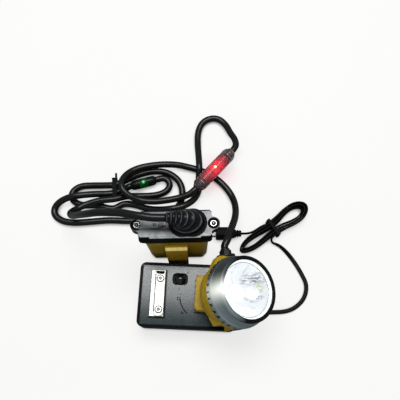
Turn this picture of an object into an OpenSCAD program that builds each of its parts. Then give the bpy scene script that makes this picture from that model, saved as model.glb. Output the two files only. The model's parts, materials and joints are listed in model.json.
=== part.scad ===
// Corded miner's cap lamp as a set: a battery pack that stands upright, a main cable with two
// in-line marker lamps, the headpiece, and a charging dock with its low-voltage lead.
// Millimetres, +Z up, floor at Z = 0, origin at the middle of the footprint of the rigid units.

/* [Battery pack] */
// Diameter of one lithium cell
cell_d = 18.2; // [17.6:0.1:18.8]
// Length of one lithium cell
cell_h = 65; // [60:1:68]
// Running clearance of a cell in its tray
cell_fit = 0.3; // [0.2:0.1:0.5]
// Depth of the yellow case at its foot
case_depth = 25; // [24:0.5:30]
// Wall of the case at its foot
case_wall = 1.3; // [1:0.1:2]
// How much each side of the case leans out from foot to rim
case_draft = 1.1; // [0.4:0.1:1.6]
// Flat cut on the upright corners of the case
case_corner = 4.5; // [3:0.5:6]
// Floor of the case
case_floor = 2; // [1.5:0.5:3]
// Height of the black collar round the mouth of the case
collar_h = 8; // [6:0.5:10]
// How far the collar stands out past the case
collar_over = 1.4; // [1:0.1:2]
// Thickness of the gasket between collar and lid
gasket_t = 1; // [0.6:0.1:1.5]
// Height of the lid
lid_h = 7; // [6:0.5:9]
// Radius of each screw lug
lug_r = 5.8; // [5:0.2:7]
// Distance of a lug screw from the end of the collar
lug_out = 3.1; // [2.5:0.1:4]
// Shank diameter of a lid screw
lid_screw_d = 3; // [2.5:0.5:4]
// Width of the belt clip
clip_w = 20.5; // [16:0.5:24]
// Thickness of the belt clip
clip_t = 2.4; // [1.8:0.2:3]
// Free gap behind the belt clip
clip_gap = 5; // [4.6:0.2:6]

/* [Cable entry boot] */
// Bend radius of the ribbed boot's centre line
boot_bend = 16; // [15:0.5:18]
// Half length of the boot's first rib
boot_foot_a = 15; // [13:0.5:15]
// Half width of the boot's first rib
boot_foot_b = 12; // [10:0.2:13]
// Radius of the boot's last rib
boot_tip_r = 6.2; // [5:0.2:7]
// Height of each rib of the boot
boot_rib = 1.5; // [0.6:0.1:1.6]
// Number of ribs on the boot
boot_ribs = 7; // [5:1:9]

/* [Charging dock] */
// Width of the dock
dock_w = 97; // [85:1:110]
// Depth of the dock
dock_d = 63; // [60:1:75]
// Height of the dock's tub above its feet
tub_h = 21; // [19:1:28]
// Plate thickness of the dock's top
top_t = 4; // [3:0.5:5]
// Height of the rim round the top
rim_h = 1.2; // [0.8:0.2:2]
// Width of the rim round the top
rim_w = 2.4; // [1.6:0.2:3.5]
// Corner radius of the dock in plan
dock_r = 6; // [4:0.5:9]
// Wall of the dock
dock_wall = 2.2; // [1.8:0.2:3]
// Height of the dock's feet under the tub
foot_h = 2; // [1:0.5:4]
// Diameter of a foot
foot_d = 9; // [7:0.5:12]
// Shank diameter of the screws in the dock and bracket
dock_screw_d = 3; // [2.5:0.5:3.5]
// Width of the steel bracket
bracket_w = 13.5; // [12:0.5:16]
// Length of the steel bracket
bracket_l = 45; // [40:1:52]
// Sheet thickness of the steel bracket
bracket_t = 1; // [0.8:0.1:1.4]
// Free height between the two leaves of the bracket
bracket_gap = 3.2; // [2.6:0.2:3.6]
// Distance between the bracket's screws
bracket_pitch = 30; // [24:1:34]
// Diameter of the domed contact stud
stud_d = 10; // [8:0.5:12]
// Diameter of the stud's stem
stud_stem_d = 4; // [3:0.5:5]
// Travel of the contact stud
stud_travel = 2; // [1:0.5:2]

/* [Headpiece] */
// Width of the bezel's front ring round the lens
bezel_ring = 3.7; // [3:0.1:4.5]
// How far the bezel's front ring is drawn in from its rear rim
bezel_lean = 3; // [2:0.1:3.5]
// Radius of the bezel's rear rim
bezel_rear_r = 33.5; // [33:0.1:35]
// Depth of the bezel
bezel_h = 20; // [18:0.5:24]
// Number of grip notches round the bezel
bezel_notches = 36; // [24:1:48]
// Thickness of the lens
lens_t = 3; // [2:0.2:4]
// Radial clearance between bezel and housing neck
neck_fit = 0.3; // [0.2:0.05:0.4]
// Wall of the housing
housing_wall = 2.2; // [1.6:0.2:3]
// Height of the block between the housing's bowl and the hook plate
block_h = 9; // [7:0.5:10]
// Width of the hook plate across the block
plate_w = 36; // [34:1:38]
// Length of the hook plate
plate_l = 38; // [36:1:42]
// Thickness of the hook plate
plate_t = 3; // [2:0.5:4]
// Diameter of the power button
button_d = 11; // [9:0.5:12]
// Travel of the power button
button_travel = 1.5; // [1:0.1:2]
// Angle between the beam and the hook plate's normal
beam_tilt = 31; // [29:0.5:33]

/* [Cords and in-line lamps] */
// Width of each blade of the lead's plug
blade_w = 5; // [4:0.5:6]
// Thickness of each blade
blade_t = 1.2; // [0.8:0.1:1.6]
// Free length of the blades
blade_l = 9.5; // [7:0.5:9.5]
// Distance between the two blades
blade_pitch = 6; // [5:0.5:7]
// Diameter of the main cable
cable_d = 7.2; // [6:0.2:7.4]
// Diameter of the red in-line lamp
beacon_d = 15.2; // [13:0.2:16]
// Length of the red in-line lamp's clear tube
beacon_l = 46; // [40:1:48]
// Diameter of the green in-line lamp
pilot_d = 10.8; // [10:0.2:12]
// Wall of the in-line lamps' tubes
tube_wall = 1.6; // [1.2:0.1:2]
// Width of the flat twin lead
lead_w = 4.4; // [3.6:0.2:4.6]
// Thickness of the flat twin lead
lead_t = 2.3; // [2:0.1:2.4]

/* [Hidden] */
$fn = 64;
hair = 0.02;
join = 0.2;

yellow = "#cda032";
black = "#1c1d20";
rubber = "#141517";
steel = "#c9ccd0";
brass = "#b08d3c";
board_green = "#1f6b3a";

// ---- where the units stand -------------------------------------------------------------
layout_shift = [-0.35, 1.5];
battery_at = [-25.5, 36.2];
battery_turn = 1.4;
dock_at = [-15, -20];
dock_turn = -2.5;
lens_at = [dock_at.x + dock_w / 2 + 7.5, -19.6, 75];
beam_turn = 7;
hook_turn = -4;

// A point given in the lens's frame.
beam_side = [cos(beam_turn) * cos(beam_tilt), sin(beam_turn) * cos(beam_tilt), -sin(beam_tilt)];
beam_up = [-sin(beam_turn), cos(beam_turn), 0];
beam_out = [cos(beam_turn) * sin(beam_tilt), sin(beam_turn) * sin(beam_tilt), cos(beam_tilt)];
function from_lens(q) = lens_at + q.x * beam_side + q.y * beam_up + q.z * beam_out;

module on_bench()
    translate([layout_shift.x, layout_shift.y, 0])
        children();

module at_battery()
    on_bench()
        translate([battery_at.x, battery_at.y, 0])
            rotate([0, 0, battery_turn])
                children();

module at_dock()
    on_bench()
        translate([dock_at.x, dock_at.y, 0])
            rotate([0, 0, dock_turn])
                children();

module at_head()
    on_bench()
        translate(lens_at)
            rotate([0, 0, beam_turn])
                rotate([0, beam_tilt, 0])
                    children();

// ---- small shared shapes ---------------------------------------------------------------
// A rectangle with round corners, centred.
module rounded_plan(w, d, r) {
    square([w - 2 * r, d], center = true);
    square([w, d - 2 * r], center = true);
    for (sx = [-1, 1], sy = [-1, 1])
        translate([sx * (w / 2 - r), sy * (d / 2 - r)])
            circle(r);
}

// A rectangle with flat corners, centred.
function cut_plan(w, d, c) = [
    [w / 2 - c, -d / 2], [w / 2, -d / 2 + c], [w / 2, d / 2 - c], [w / 2 - c, d / 2],
    [c - w / 2, d / 2], [-w / 2, d / 2 - c], [-w / 2, c - d / 2], [c - w / 2, -d / 2]
];

// A block between two outlines with the same number of corners.
module drafted_block(low, high, h) {
    n = len(low);
    points = concat([for (q = low) [q.x, q.y, 0]], [for (q = high) [q.x, q.y, h]]);
    sides = [for (i = [0 : n - 1]) [i, n + i, n + (i + 1) % n, (i + 1) % n]];
    polyhedron(points, concat(sides, [[for (i = [0 : n - 1]) i], [for (i = [2 * n - 1 : -1 : n]) i]]));
}

module tube(r_out, r_in, h)
    difference() {
        cylinder(r = r_out, h = h);
        translate([0, 0, -1])
            cylinder(r = r_in, h = h + 2);
    }

// A pan head screw: head on Z = 0 and up, shank down.
module pan_screw(shank_d, shank_l, head_d, head_h) {
    difference() {
        cylinder(d = head_d, h = head_h);
        for (turn = [0, 90])
            rotate([0, 0, turn])
                translate([-head_d * 0.32, -head_d * 0.07, head_h * 0.5])
                    cube([head_d * 0.64, head_d * 0.14, head_h]);
    }
    translate([0, 0, -shank_l])
        cylinder(d = shank_d, h = shank_l + join);
}

// ---- sweeping an oval section along a list of points ------------------------------------
function unit(v) = v / norm(v);
function along(p, i) =
    i == 0 ? unit(p[1] - p[0])
    : i == len(p) - 1 ? unit(p[i] - p[i - 1])
    : unit(unit(p[i + 1] - p[i]) + unit(p[i] - p[i - 1]));
function flat_to(v, t) = unit(v - t * (v * t));
// Side directions that turn as little as they can from ring to ring.
function carried(p, first) = [
    for (i = 0, s = flat_to(first, along(p, 0)); i < len(p);
         i = i + 1, s = i < len(p) ? flat_to(s, along(p, i)) : s) s
];
// Side directions that lie level, for a cord that never runs upright.
function level(p) = [for (i = [0 : len(p) - 1]) unit(cross(along(p, i), [0, 0, 1]))];
function rolled(p, sides, roll) = [
    for (i = [0 : len(p) - 1])
        let (up = cross(sides[i], along(p, i)))
            sides[i] * cos(roll[i]) + up * sin(roll[i])
];

module swept(p, sides, half_w, half_t, faces) {
    rings = len(p);
    points = [
        for (i = [0 : rings - 1])
            let (up = cross(sides[i], along(p, i)))
                for (k = [0 : faces - 1])
                    let (turn = 360 * (k + 0.5) / faces)
                        p[i] + sides[i] * half_w[i] * cos(turn) + up * half_t[i] * sin(turn)
    ];
    walls = [
        for (i = [0 : rings - 2], k = [0 : faces - 1])
            let (
                a = i * faces + k,
                b = i * faces + (k + 1) % faces,
                c = a + faces,
                d = b + faces
            )
                each [[a, b, c], [b, d, c]]
    ];
    near_end = [for (k = [1 : faces - 2]) [0, k + 1, k]];
    last = (rings - 1) * faces;
    far_end = [for (k = [1 : faces - 2]) [last, last + k, last + k + 1]];
    polyhedron(points, concat(walls, near_end, far_end));
}

function same(value, p) = [for (q = p) value];

module round_cord(p, d, first, faces)
    swept(p, carried(p, first), same(d / 2, p), same(d / 2, p), faces);

// ---- battery pack ----------------------------------------------------------------------
cell_count = 3;
cell_pitch = cell_d + cell_fit;
row_w = cell_count * cell_pitch - cell_fit;
inner_w = row_w + 2 * cell_fit;
case_w = inner_w + 2 * case_wall;
cavity_d = case_depth - 2 * case_wall;
cavity_corner = case_corner - case_wall * (2 - sqrt(2));
case_top_w = case_w + 2 * case_draft;
case_top_d = case_depth + 2 * case_draft;
tray_floor = 1;
strap_t = 0.4;
strap_w = 7;
cells_z = case_floor + tray_floor + strap_t;
cells_top = cells_z + cell_h;
board_gap = 2.4;
board_t = 1.2;
board_z = cells_top + board_gap;
case_h = board_z + board_t + 2;
collar_w = case_top_w + 2 * collar_over;
collar_d = case_top_d + 2 * collar_over;
collar_ledge = 5;
lug_x = collar_w / 2 + lug_out;
gasket_z = case_h + collar_h;
lid_z = gasket_z + gasket_t;
lid_top = lid_z + lid_h;
lid_w = collar_w + 3.4;
lid_low_d = collar_d - 1.6;
lid_top_d = collar_d - 6.8;
lid_corner = 1.8;
skirt_over = 0.4;
insert_d = lid_screw_d + 2;
insert_h = 5;
well_d = lug_r * 1.3;
well_depth = 2;
screw_head_d = 5.2;
pad_t = 1;
pad_z = case_h - 24;
boot_x = 11.4;
boot_y = 0.8;
foot_a = boot_foot_a + 2.6;
foot_b = boot_foot_b + 1;
stem_d = 12;
stem_bore = cable_d - 1;
nut_h = 4;

// How far the case's faces have leaned out at a height.
function lean(z) = case_draft * z / case_h;

function cell_x(i) = (i - (cell_count - 1) / 2) * cell_pitch;

module case_body() {
    drafted_block(cut_plan(case_w, case_depth, case_corner),
                  cut_plan(case_top_w, case_top_d, case_corner), case_h);
    translate([-clip_w / 2, -case_top_d / 2 - pad_t, pad_z])
        cube([clip_w, case_top_d / 2, case_h - pad_z - 1]);
}

module clip_screw_places(side)
    for (row = [pad_z + 3.5, pad_z + 9.5])
        translate([side * cell_pitch / 2, 0, row])
            children();

// A block that fills the case's cavity but for a clearance all round.
module cavity_block(gap, low, h)
    translate([0, 0, low])
        linear_extrude(h)
            polygon(cut_plan(inner_w - 2 * gap, cavity_d - 2 * gap, cavity_corner));

module battery_case()
    color(yellow)
        at_battery()
            difference() {
                case_body();
                cavity_block(0, case_floor, case_h);
                clip_holes();
            }

module clip_holes()
    for (side = [-1, 1])
        clip_screw_places(side)
            rotate([90, 0, 0])
                cylinder(d = clip_screw_d + 2 * clip_screw_fit, h = case_top_d);

clip_screw_d = 2.5;
clip_screw_fit = 0.1;
clip_screw_head_h = 1.2;
clip_inner = -case_top_d / 2 - pad_t;
clip_face = -case_depth / 2 - clip_gap - clip_t - case_draft / 2;
clip_foot = 8;
clip_plate_t = 2.2;

module belt_clip() {
    top = case_h - 1;
    shoulder = pad_z + 9;
    outline = [
        [clip_inner, pad_z + 1], [clip_inner, top], [clip_inner - 1.6, top],
        [clip_inner - 2.8, top - 1.2], [clip_face + 0.9, shoulder + 3], [clip_face, shoulder - 3],
        [clip_face, clip_foot + 3], [clip_face - 0.8, clip_foot], [clip_face + clip_t - 1, clip_foot],
        [clip_face + clip_t, clip_foot + 3.4], [clip_face + clip_t, pad_z - 1],
        [clip_inner - clip_plate_t, pad_z + 1]
    ];
    color(yellow)
        at_battery()
            difference() {
                rotate([90, 0, 90])
                    translate([0, 0, -clip_w / 2])
                        linear_extrude(clip_w)
                            polygon(outline);
                for (side = [-1, 1])
                    clip_screw_places(side)
                        translate([0, clip_inner + hair, 0])
                            rotate([90, 0, 0])
                                cylinder(d = clip_screw_d, h = clip_plate_t + hair);
            }
}

module clip_screws() {
    head_y = -cavity_d / 2 + clip_screw_head_h;
    color(steel)
        at_battery()
            for (side = [-1, 1])
                clip_screw_places(side)
                    translate([0, head_y, 0])
                        rotate([90, 0, 0]) {
                            cylinder(d = clip_screw_d * 1.8, h = clip_screw_head_h);
                            cylinder(d = clip_screw_d, h = head_y - clip_inner + clip_plate_t);
                        }
}

module cell_bores(fit, z, h)
    for (i = [0 : cell_count - 1])
        translate([cell_x(i), 0, z])
            cylinder(d = cell_d + 2 * fit, h = h);

module cell_tray() {
    grip = 6;
    post = 3;
    fit = 0.1;
    color("#2b2d31")
        at_battery() {
            difference() {
                cavity_block(fit, case_floor, tray_floor + strap_t + grip);
                cell_bores(fit, case_floor + tray_floor, grip + 3);
                translate([-row_w / 2, -strap_w / 2 - fit, case_floor + tray_floor])
                    cube([row_w, strap_w + 2 * fit, grip + 3]);
            }
            difference() {
                union() {
                    cavity_block(fit, cells_top - grip, grip);
                    for (side = [-1, 1], face = [-1, 1])
                        translate([side * (inner_w / 2 - cavity_corner - post / 2 - fit),
                                   face * (cavity_d / 2 - post / 2 - fit),
                                   cells_top + board_gap / 2 - join / 2])
                            cube([post, post, board_gap + join], center = true);
                }
                cell_bores(fit, cells_top - grip - 1, grip + 2);
                translate([-row_w / 2, -strap_w / 2 - fit, cells_top - grip - 1])
                    cube([row_w, strap_w + 2 * fit, grip + 2]);
            }
        }
}

module cells()
    color("#2f6fb3")
        at_battery()
            cell_bores(0, cells_z, cell_h);

module cell_straps()
    color(steel)
        at_battery()
            for (z = [case_floor + tray_floor, cells_top])
                translate([-(row_w - 4) / 2, -strap_w / 2, z])
                    cube([row_w - 4, strap_w, strap_t]);

module protection_board()
    color(board_green)
        at_battery() {
            cavity_block(0.5, board_z, board_t);
            for (i = [-1, 1])
                translate([i * 15 - 3, -2.5, board_z + board_t - join])
                    cube([6, 5, 1.4 + join]);
        }

module lug_plan(extra) {
    root = lid_w / 2 - 4;
    wide = lug_r + 1.6 + extra;
    narrow = lug_r - 1.2 + extra;
    for (side = [-1, 1]) {
        translate([side * lug_x, 0])
            circle(lug_r + extra);
        polygon([
            [side * root, -wide], [side * (root + 3.6), -wide], [side * (lug_x + 2.6), -narrow],
            [side * (lug_x + 2.6), narrow], [side * (root + 3.6), wide], [side * root, wide]
        ]);
    }
}

module battery_collar() {
    spigot = 1.2;
    spigot_fit = 0.1;
    color(black)
        at_battery()
            difference() {
                union() {
                    translate([0, 0, case_h])
                        drafted_block(
                            cut_plan(case_top_w + 2 * skirt_over, case_top_d + 2 * skirt_over, case_corner),
                            cut_plan(lid_w, collar_d, lid_corner), collar_h);
                    translate([0, 0, case_h + collar_h / 2])
                        linear_extrude(collar_h / 2)
                            lug_plan(0);
                    cavity_block(spigot_fit, case_h - spigot, spigot + join);
                }
                translate([-inner_w / 2 + collar_ledge, -cavity_d / 2 + 3, case_h - 5])
                    cube([inner_w - 2 * collar_ledge, cavity_d - 6, collar_h + 10]);
                for (side = [-1, 1])
                    translate([side * lug_x, 0, gasket_z - insert_h])
                        cylinder(d = insert_d, h = insert_h + 1);
            }
}

module lid_inserts()
    color(brass)
        at_battery()
            for (side = [-1, 1])
                translate([side * lug_x, 0, gasket_z - insert_h])
                    tube(insert_d / 2, lid_screw_d / 2, insert_h);

module lid_gasket()
    color("#3b3d42")
        at_battery()
            translate([0, 0, gasket_z])
                linear_extrude(gasket_t)
                    difference() {
                        union() {
                            polygon(cut_plan(lid_w - 1.6, collar_d - 2.4, lid_corner));
                            lug_plan(-0.8);
                        }
                        square([inner_w - 2 * collar_ledge, cavity_d - 6], center = true);
                        for (side = [-1, 1])
                            translate([side * lug_x, 0])
                                circle(d = insert_d);
                    }

bulge_w = 50;
bulge_top_w = 47;
rib_h = 1.4;
rib_w = 8.2;

module battery_lid()
    color(black)
        at_battery()
            difference() {
                union() {
                    translate([0, 0, lid_z])
                        drafted_block(cut_plan(lid_w, lid_low_d, lid_corner),
                                      cut_plan(lid_w - 0.6, lid_top_d, lid_corner), lid_h);
                    translate([0, 0, lid_z])
                        linear_extrude(lid_h)
                            lug_plan(0);
                    translate([0, -collar_d / 4, lid_z])
                        drafted_block(cut_plan(bulge_w, collar_d / 2, 1),
                                      cut_plan(bulge_top_w, collar_d / 2 - 4, 1), lid_h - 0.3);
                    translate([-lug_x, 0, lid_top - join])
                        linear_extrude(rib_h + join)
                            rib_plan();
                }
                translate([-inner_w / 2 + collar_ledge, -cavity_d / 2 + 3, lid_z - 1])
                    cube([inner_w - 2 * collar_ledge, cavity_d - 6, lid_h - 2]);
                for (side = [-1, 1])
                    translate([side * lug_x, 0, 0]) {
                        translate([0, 0, lid_z - 1])
                            cylinder(d = lid_screw_d + 0.1, h = lid_h + 2);
                        translate([0, 0, lid_top - well_depth])
                            cylinder(d = well_d, h = well_depth + rib_h + 1);
                    }
                translate([boot_x, boot_y, lid_z])
                    cylinder(d = stem_d + 0.1, h = lid_h + 2);
            }

rib_l = lug_x + boot_x - foot_a - 2.2;

module rib_plan()
    polygon([
        [0, -rib_w / 2], [rib_l - 8, -rib_w / 2 + 0.3], [rib_l - 2.4, -rib_w / 2 + 1.9],
        [rib_l, -1], [rib_l, 1], [rib_l - 2.4, rib_w / 2 - 1.9], [rib_l - 8, rib_w / 2 - 0.3],
        [0, rib_w / 2]
    ]);

module lid_screws()
    color(steel)
        at_battery()
            for (side = [-1, 1])
                translate([side * lug_x, 0, lid_top - well_depth]) {
                    difference() {
                        cylinder(d = screw_head_d, h = 1.4);
                        translate([0, 0, 0.5])
                            cylinder(d = 2, h = 2);
                    }
                    translate([0, 0, -lid_h + well_depth - gasket_t - insert_h + 0.5])
                        cylinder(d = lid_screw_d, h = lid_h - well_depth + gasket_t + insert_h - 0.3);
                }

// Threaded gland that carries the boot: an oval foot on the lid, a stem through it.
gland_foot = 1.4;

module boot_gland()
    color(rubber)
        at_battery()
            translate([boot_x, boot_y, 0])
                difference() {
                    union() {
                        translate([0, 0, lid_z + 1])
                            cylinder(d = stem_d, h = lid_h - 1 + join);
                        translate([0, 0, lid_top])
                            rounded_foot();
                    }
                    translate([0, 0, lid_z])
                        cylinder(d = stem_bore, h = lid_h - 1);
                }

module rounded_foot()
    linear_extrude(gland_foot) {
        square([2 * (foot_a - foot_b + 1), 2 * foot_b - 0.4], center = true);
        for (side = [-1, 1])
            translate([side * (foot_a - foot_b), 0])
                circle(foot_b);
    }

module gland_locknut()
    color(brass)
        at_battery()
            translate([boot_x, boot_y, lid_top - 3 - nut_h])
                difference() {
                    cylinder(d = stem_d + 4, h = nut_h, $fn = 6);
                    translate([0, 0, -1])
                        cylinder(d = stem_d + 0.06, h = nut_h + 2);
                }

// The ribbed elbow: rings along a quarter turn, shrinking from the oval foot to the tip.
boot_steps = boot_ribs * 4;
boot_sleeve = 2.5;
boot_rise = 0.6;
function boot_share(i) = i / boot_steps;
function boot_centre(i) =
    let (a = 90 * boot_share(i))
        [-boot_bend + boot_bend * cos(a), 0, boot_bend * sin(a)];
function boot_swell(i) = boot_rib * (i % 4 == 1 || i % 4 == 2 ? 1 : 0);
function boot_half(i, foot) =
    foot + (boot_tip_r - foot) * sin(90 * pow(boot_share(i), 0.85)) + boot_swell(i) - boot_rib;
function boot_sizes(foot) = [for (i = [0 : boot_steps]) boot_half(i, foot)];

module cable_boot() {
    rise = [0, 0, boot_rise];
    bend = [for (i = [0 : boot_steps]) boot_centre(i) + rise];
    tip = [-boot_bend - boot_sleeve, 0, boot_bend] + rise;
    route = concat([[0, 0, 0]], bend, [tip]);
    end_r = boot_tip_r - boot_rib;
    long = concat([boot_half(0, boot_foot_a)], boot_sizes(boot_foot_a), [end_r]);
    wide = concat([boot_half(0, boot_foot_b)], boot_sizes(boot_foot_b), [end_r]);
    color(rubber)
        at_battery()
            translate([boot_x, boot_y, lid_top + gland_foot])
                swept(route, same([0, 1, 0], route), wide, long, 24);
}

// ---- charging dock ---------------------------------------------------------------------
tub_z = foot_h;
top_z = tub_z + tub_h;
face_z = top_z + top_t;
boss_d = 7;
boss_in = 7.5;
boss_split = tub_z + tub_h * 0.6;
tub_floor = 2.2;
bracket_x = -dock_w / 2 + 18.5;
bracket_y = 1.5;
bracket_screw_x = 2.4;
bracket_leaf_w = bracket_w - 4;
bracket_hole = dock_screw_d + 0.1;
stud_x = -8.4;
stud_y = 16;
recess_w = 15.2;
recess_d = 11.6;
recess_depth = 3;
stud_boss_d = stud_d + 4;
stud_boss_h = 12;
stud_well_d = stud_stem_d + 4;
stem_fit = 0.05;
stud_floor = face_z - recess_depth;
stud_head_z = stud_floor + stud_travel + 0.2;
stud_base_z = face_z - recess_depth - stud_boss_h;
stud_seat_h = 3;
lead_y = -11.3;
lead_z = 7;
grommet_d = 7;

module dock_corners()
    for (sx = [-1, 1], sy = [-1, 1])
        translate([sx * (dock_w / 2 - boss_in), sy * (dock_d / 2 - boss_in), 0])
            children();

module dock_feet()
    color(rubber)
        at_dock()
            dock_corners()
                difference() {
                    cylinder(d = foot_d, h = foot_h);
                    translate([0, 0, -1])
                        cylinder(d = foot_d - 3.4, h = foot_h + 2);
                }

module dock_base()
    color(black)
        at_dock()
            difference() {
                union() {
                    difference() {
                        translate([0, 0, tub_z])
                            linear_extrude(tub_h)
                                rounded_plan(dock_w, dock_d, dock_r);
                        translate([0, 0, tub_z + tub_floor])
                            linear_extrude(tub_h)
                                rounded_plan(dock_w - 2 * dock_wall, dock_d - 2 * dock_wall, dock_r - 2);
                    }
                    dock_corners()
                        translate([0, 0, tub_z + tub_floor - join])
                            cylinder(d = boss_d, h = boss_split - tub_z - tub_floor + join);
                    for (sx = [-1, 1], sy = [-1, 1])
                        translate([sx * board_post, sy * (dock_d / 2 - 15.5), tub_z + tub_floor - join])
                            cylinder(d = 6, h = board_rise + join);
                }
                dock_corners()
                    translate([0, 0, tub_z - 1])
                        cylinder(d = dock_screw_d + 0.1, h = tub_h);
                translate([dock_w / 2 - dock_wall - 1, lead_y, lead_z])
                    rotate([0, 90, 0])
                        cylinder(d = grommet_d, h = dock_wall + 3);
            }

board_rise = 3;
dock_board_t = 1.6;
dock_board_z = tub_z + tub_floor + board_rise;
dock_board_w = dock_w - 29;
dock_board_d = dock_d - 29;
board_post = dock_w / 2 - 22.5;

module dock_board()
    color(board_green)
        at_dock()
            translate([-dock_board_w / 2 - 2, -dock_d / 2 + 7.5, dock_board_z])
                difference() {
                    cube([dock_board_w, dock_board_d, dock_board_t]);
                    for (x = [dock_board_w / 2 - board_post + 2, dock_board_w / 2 + board_post + 2])
                        translate([x, 8, -1])
                            cylinder(d = 2.4, h = dock_board_t + 2);
                }

module charge_transformer()
    color("#6b4a2a")
        at_dock() {
            translate([4, -20, dock_board_z + dock_board_t])
                cube([20, 18, 9]);
            translate([6, -20 - 1.2, dock_board_z + dock_board_t + 1])
                cube([16, 20.4, 6]);
        }

module dock_top() {
    lip = 1.5;
    lip_fit = 0.15;
    color(black)
        at_dock()
            difference() {
                union() {
                    translate([0, 0, top_z])
                        linear_extrude(top_t)
                            rounded_plan(dock_w, dock_d, dock_r);
                    translate([0, 0, face_z - join])
                        linear_extrude(rim_h + join)
                            difference() {
                                rounded_plan(dock_w, dock_d, dock_r);
                                rounded_plan(dock_w - 2 * rim_w, dock_d - 2 * rim_w, dock_r - rim_w + 0.4);
                            }
                    translate([0, 0, top_z - lip])
                        linear_extrude(lip + join)
                            difference() {
                                rounded_plan(dock_w - 2 * dock_wall - 2 * lip_fit,
                                             dock_d - 2 * dock_wall - 2 * lip_fit, dock_r - 2);
                                rounded_plan(dock_w - 2 * dock_wall - 3.4,
                                             dock_d - 2 * dock_wall - 3.4, dock_r - 3);
                            }
                    dock_corners()
                        translate([0, 0, boss_split])
                            cylinder(d = boss_d, h = top_z - boss_split + join);
                    translate([stud_x, stud_y, stud_base_z])
                        cylinder(d = stud_boss_d, h = top_z - stud_base_z + join);
                    bracket_screw_places()
                        translate([0, 0, top_z - 6])
                            cylinder(d = boss_d, h = 6 + join);
                }
                dock_corners()
                    translate([0, 0, boss_split - 1])
                        cylinder(d = dock_screw_d, h = top_z - boss_split + 1);
                translate([stud_x, stud_y, stud_floor])
                    linear_extrude(recess_depth + 1)
                        rounded_plan(recess_w, recess_d, 4);
                translate([stud_x, stud_y, stud_base_z + stud_seat_h])
                    cylinder(d = stud_well_d, h = stud_boss_h);
                translate([stud_x, stud_y, stud_base_z - 1])
                    cylinder(d = stud_stem_d + 2 * stem_fit, h = stud_boss_h);
                bracket_screw_places()
                    translate([0, 0, top_z - 7])
                        cylinder(d = dock_screw_d, h = top_t + 8);
            }
}

module bracket_screw_places()
    for (side = [-1, 1])
        translate([bracket_x + bracket_screw_x, bracket_y - 1.4 + side * bracket_pitch / 2, 0])
            children();

module dock_screws()
    color(steel)
        at_dock()
            dock_corners()
                translate([0, 0, tub_z - 1.2])
                    mirror([0, 0, 1])
                        translate([0, 0, -1.2])
                            pan_screw(dock_screw_d, boss_split - tub_z + 4, dock_screw_d * 1.6, 1.1);

// Folded steel bracket: a lower leaf on the dock, a web, and an upper leaf over it.
leaf_z = face_z + bracket_t + bracket_gap;

module dock_bracket() {
    web_x = bracket_w / 2 - bracket_leaf_w;
    half_l = bracket_l / 2;
    color(steel)
        at_dock()
            difference() {
                translate([bracket_x, bracket_y, 0]) {
                    translate([-bracket_w / 2, -half_l, face_z])
                        cube([bracket_w, bracket_l, bracket_t]);
                    translate([web_x, -half_l + 2, face_z + bracket_t - join])
                        cube([bracket_t, bracket_l - 6, bracket_gap + 2 * join]);
                    translate([0, 0, leaf_z])
                        linear_extrude(bracket_t)
                            difference() {
                                union() {
                                    translate([web_x, -half_l + 4])
                                        square([bracket_leaf_w, bracket_l - 5]);
                                    translate([web_x + 3.6, -half_l + 0.4])
                                        square([bracket_leaf_w - 7.2, 4]);
                                    for (x = [web_x + 4, bracket_w / 2 - 4])
                                        translate([x, -half_l + 4.2])
                                            circle(4);
                                }
                                translate([web_x + 1.6, half_l - 4.4])
                                    square([bracket_leaf_w - 3, 1.8]);
                            }
                    for (y = [-half_l + 6, half_l - 12])
                        translate([-bracket_w / 2, y, face_z + bracket_t - join])
                            cube([bracket_t, 3, 1 + join]);
                }
                bracket_screw_places()
                    translate([0, 0, face_z - 1])
                        cylinder(d = bracket_hole, h = 10);
            }
}

module bracket_spacers()
    color(brass)
        at_dock()
            bracket_screw_places()
                translate([0, 0, face_z + bracket_t])
                    tube(dock_screw_d / 2 + 1.2, bracket_hole / 2, bracket_gap);

module bracket_screws()
    color(steel)
        at_dock()
            bracket_screw_places()
                translate([0, 0, leaf_z + bracket_t])
                    pan_screw(dock_screw_d, leaf_z + bracket_t - top_z + 4, dock_screw_d * 1.85, 1.7);

stud_dome = 2.4;
stud_rim = 2;

module contact_stud() {
    dome_r = (stud_d * stud_d / 4 + stud_dome * stud_dome) / (2 * stud_dome);
    color(black)
        at_dock()
            translate([stud_x, stud_y, 0]) {
                translate([0, 0, stud_head_z])
                    cylinder(d = stud_d, h = stud_rim);
                translate([0, 0, stud_head_z + stud_rim])
                    intersection() {
                        translate([0, 0, stud_dome - dome_r])
                            sphere(dome_r);
                        translate([0, 0, -join])
                            cylinder(d = stud_d, h = stud_dome + 1);
                    }
                translate([0, 0, stud_base_z - 3])
                    cylinder(d = stud_stem_d, h = stud_head_z - stud_base_z + 3 + join);
            }
}

module stud_spring()
    color(steel)
        at_dock()
            translate([stud_x, stud_y, stud_base_z + stud_seat_h])
                tube(stud_well_d / 2 - 0.4, stud_stem_d / 2 + 0.5, stud_head_z - stud_base_z - stud_seat_h);

module stud_clip()
    color(steel)
        at_dock()
            translate([stud_x, stud_y, stud_base_z - 1.4])
                tube(stud_stem_d / 2 + 2, stud_stem_d / 2, 1.2);

module lead_grommet()
    color(rubber)
        at_dock()
            translate([dock_w / 2, lead_y, lead_z])
                rotate([0, 90, 0]) {
                    translate([0, 0, -dock_wall])
                        cylinder(d = grommet_d - 0.04, h = dock_wall + join);
                    cylinder(d = grommet_d + 1.6, h = 1.6);
                    cylinder(d1 = grommet_d + 0.8, d2 = lead_w + 1.6, h = grommet_out);
                }

grommet_out = 6;

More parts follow.
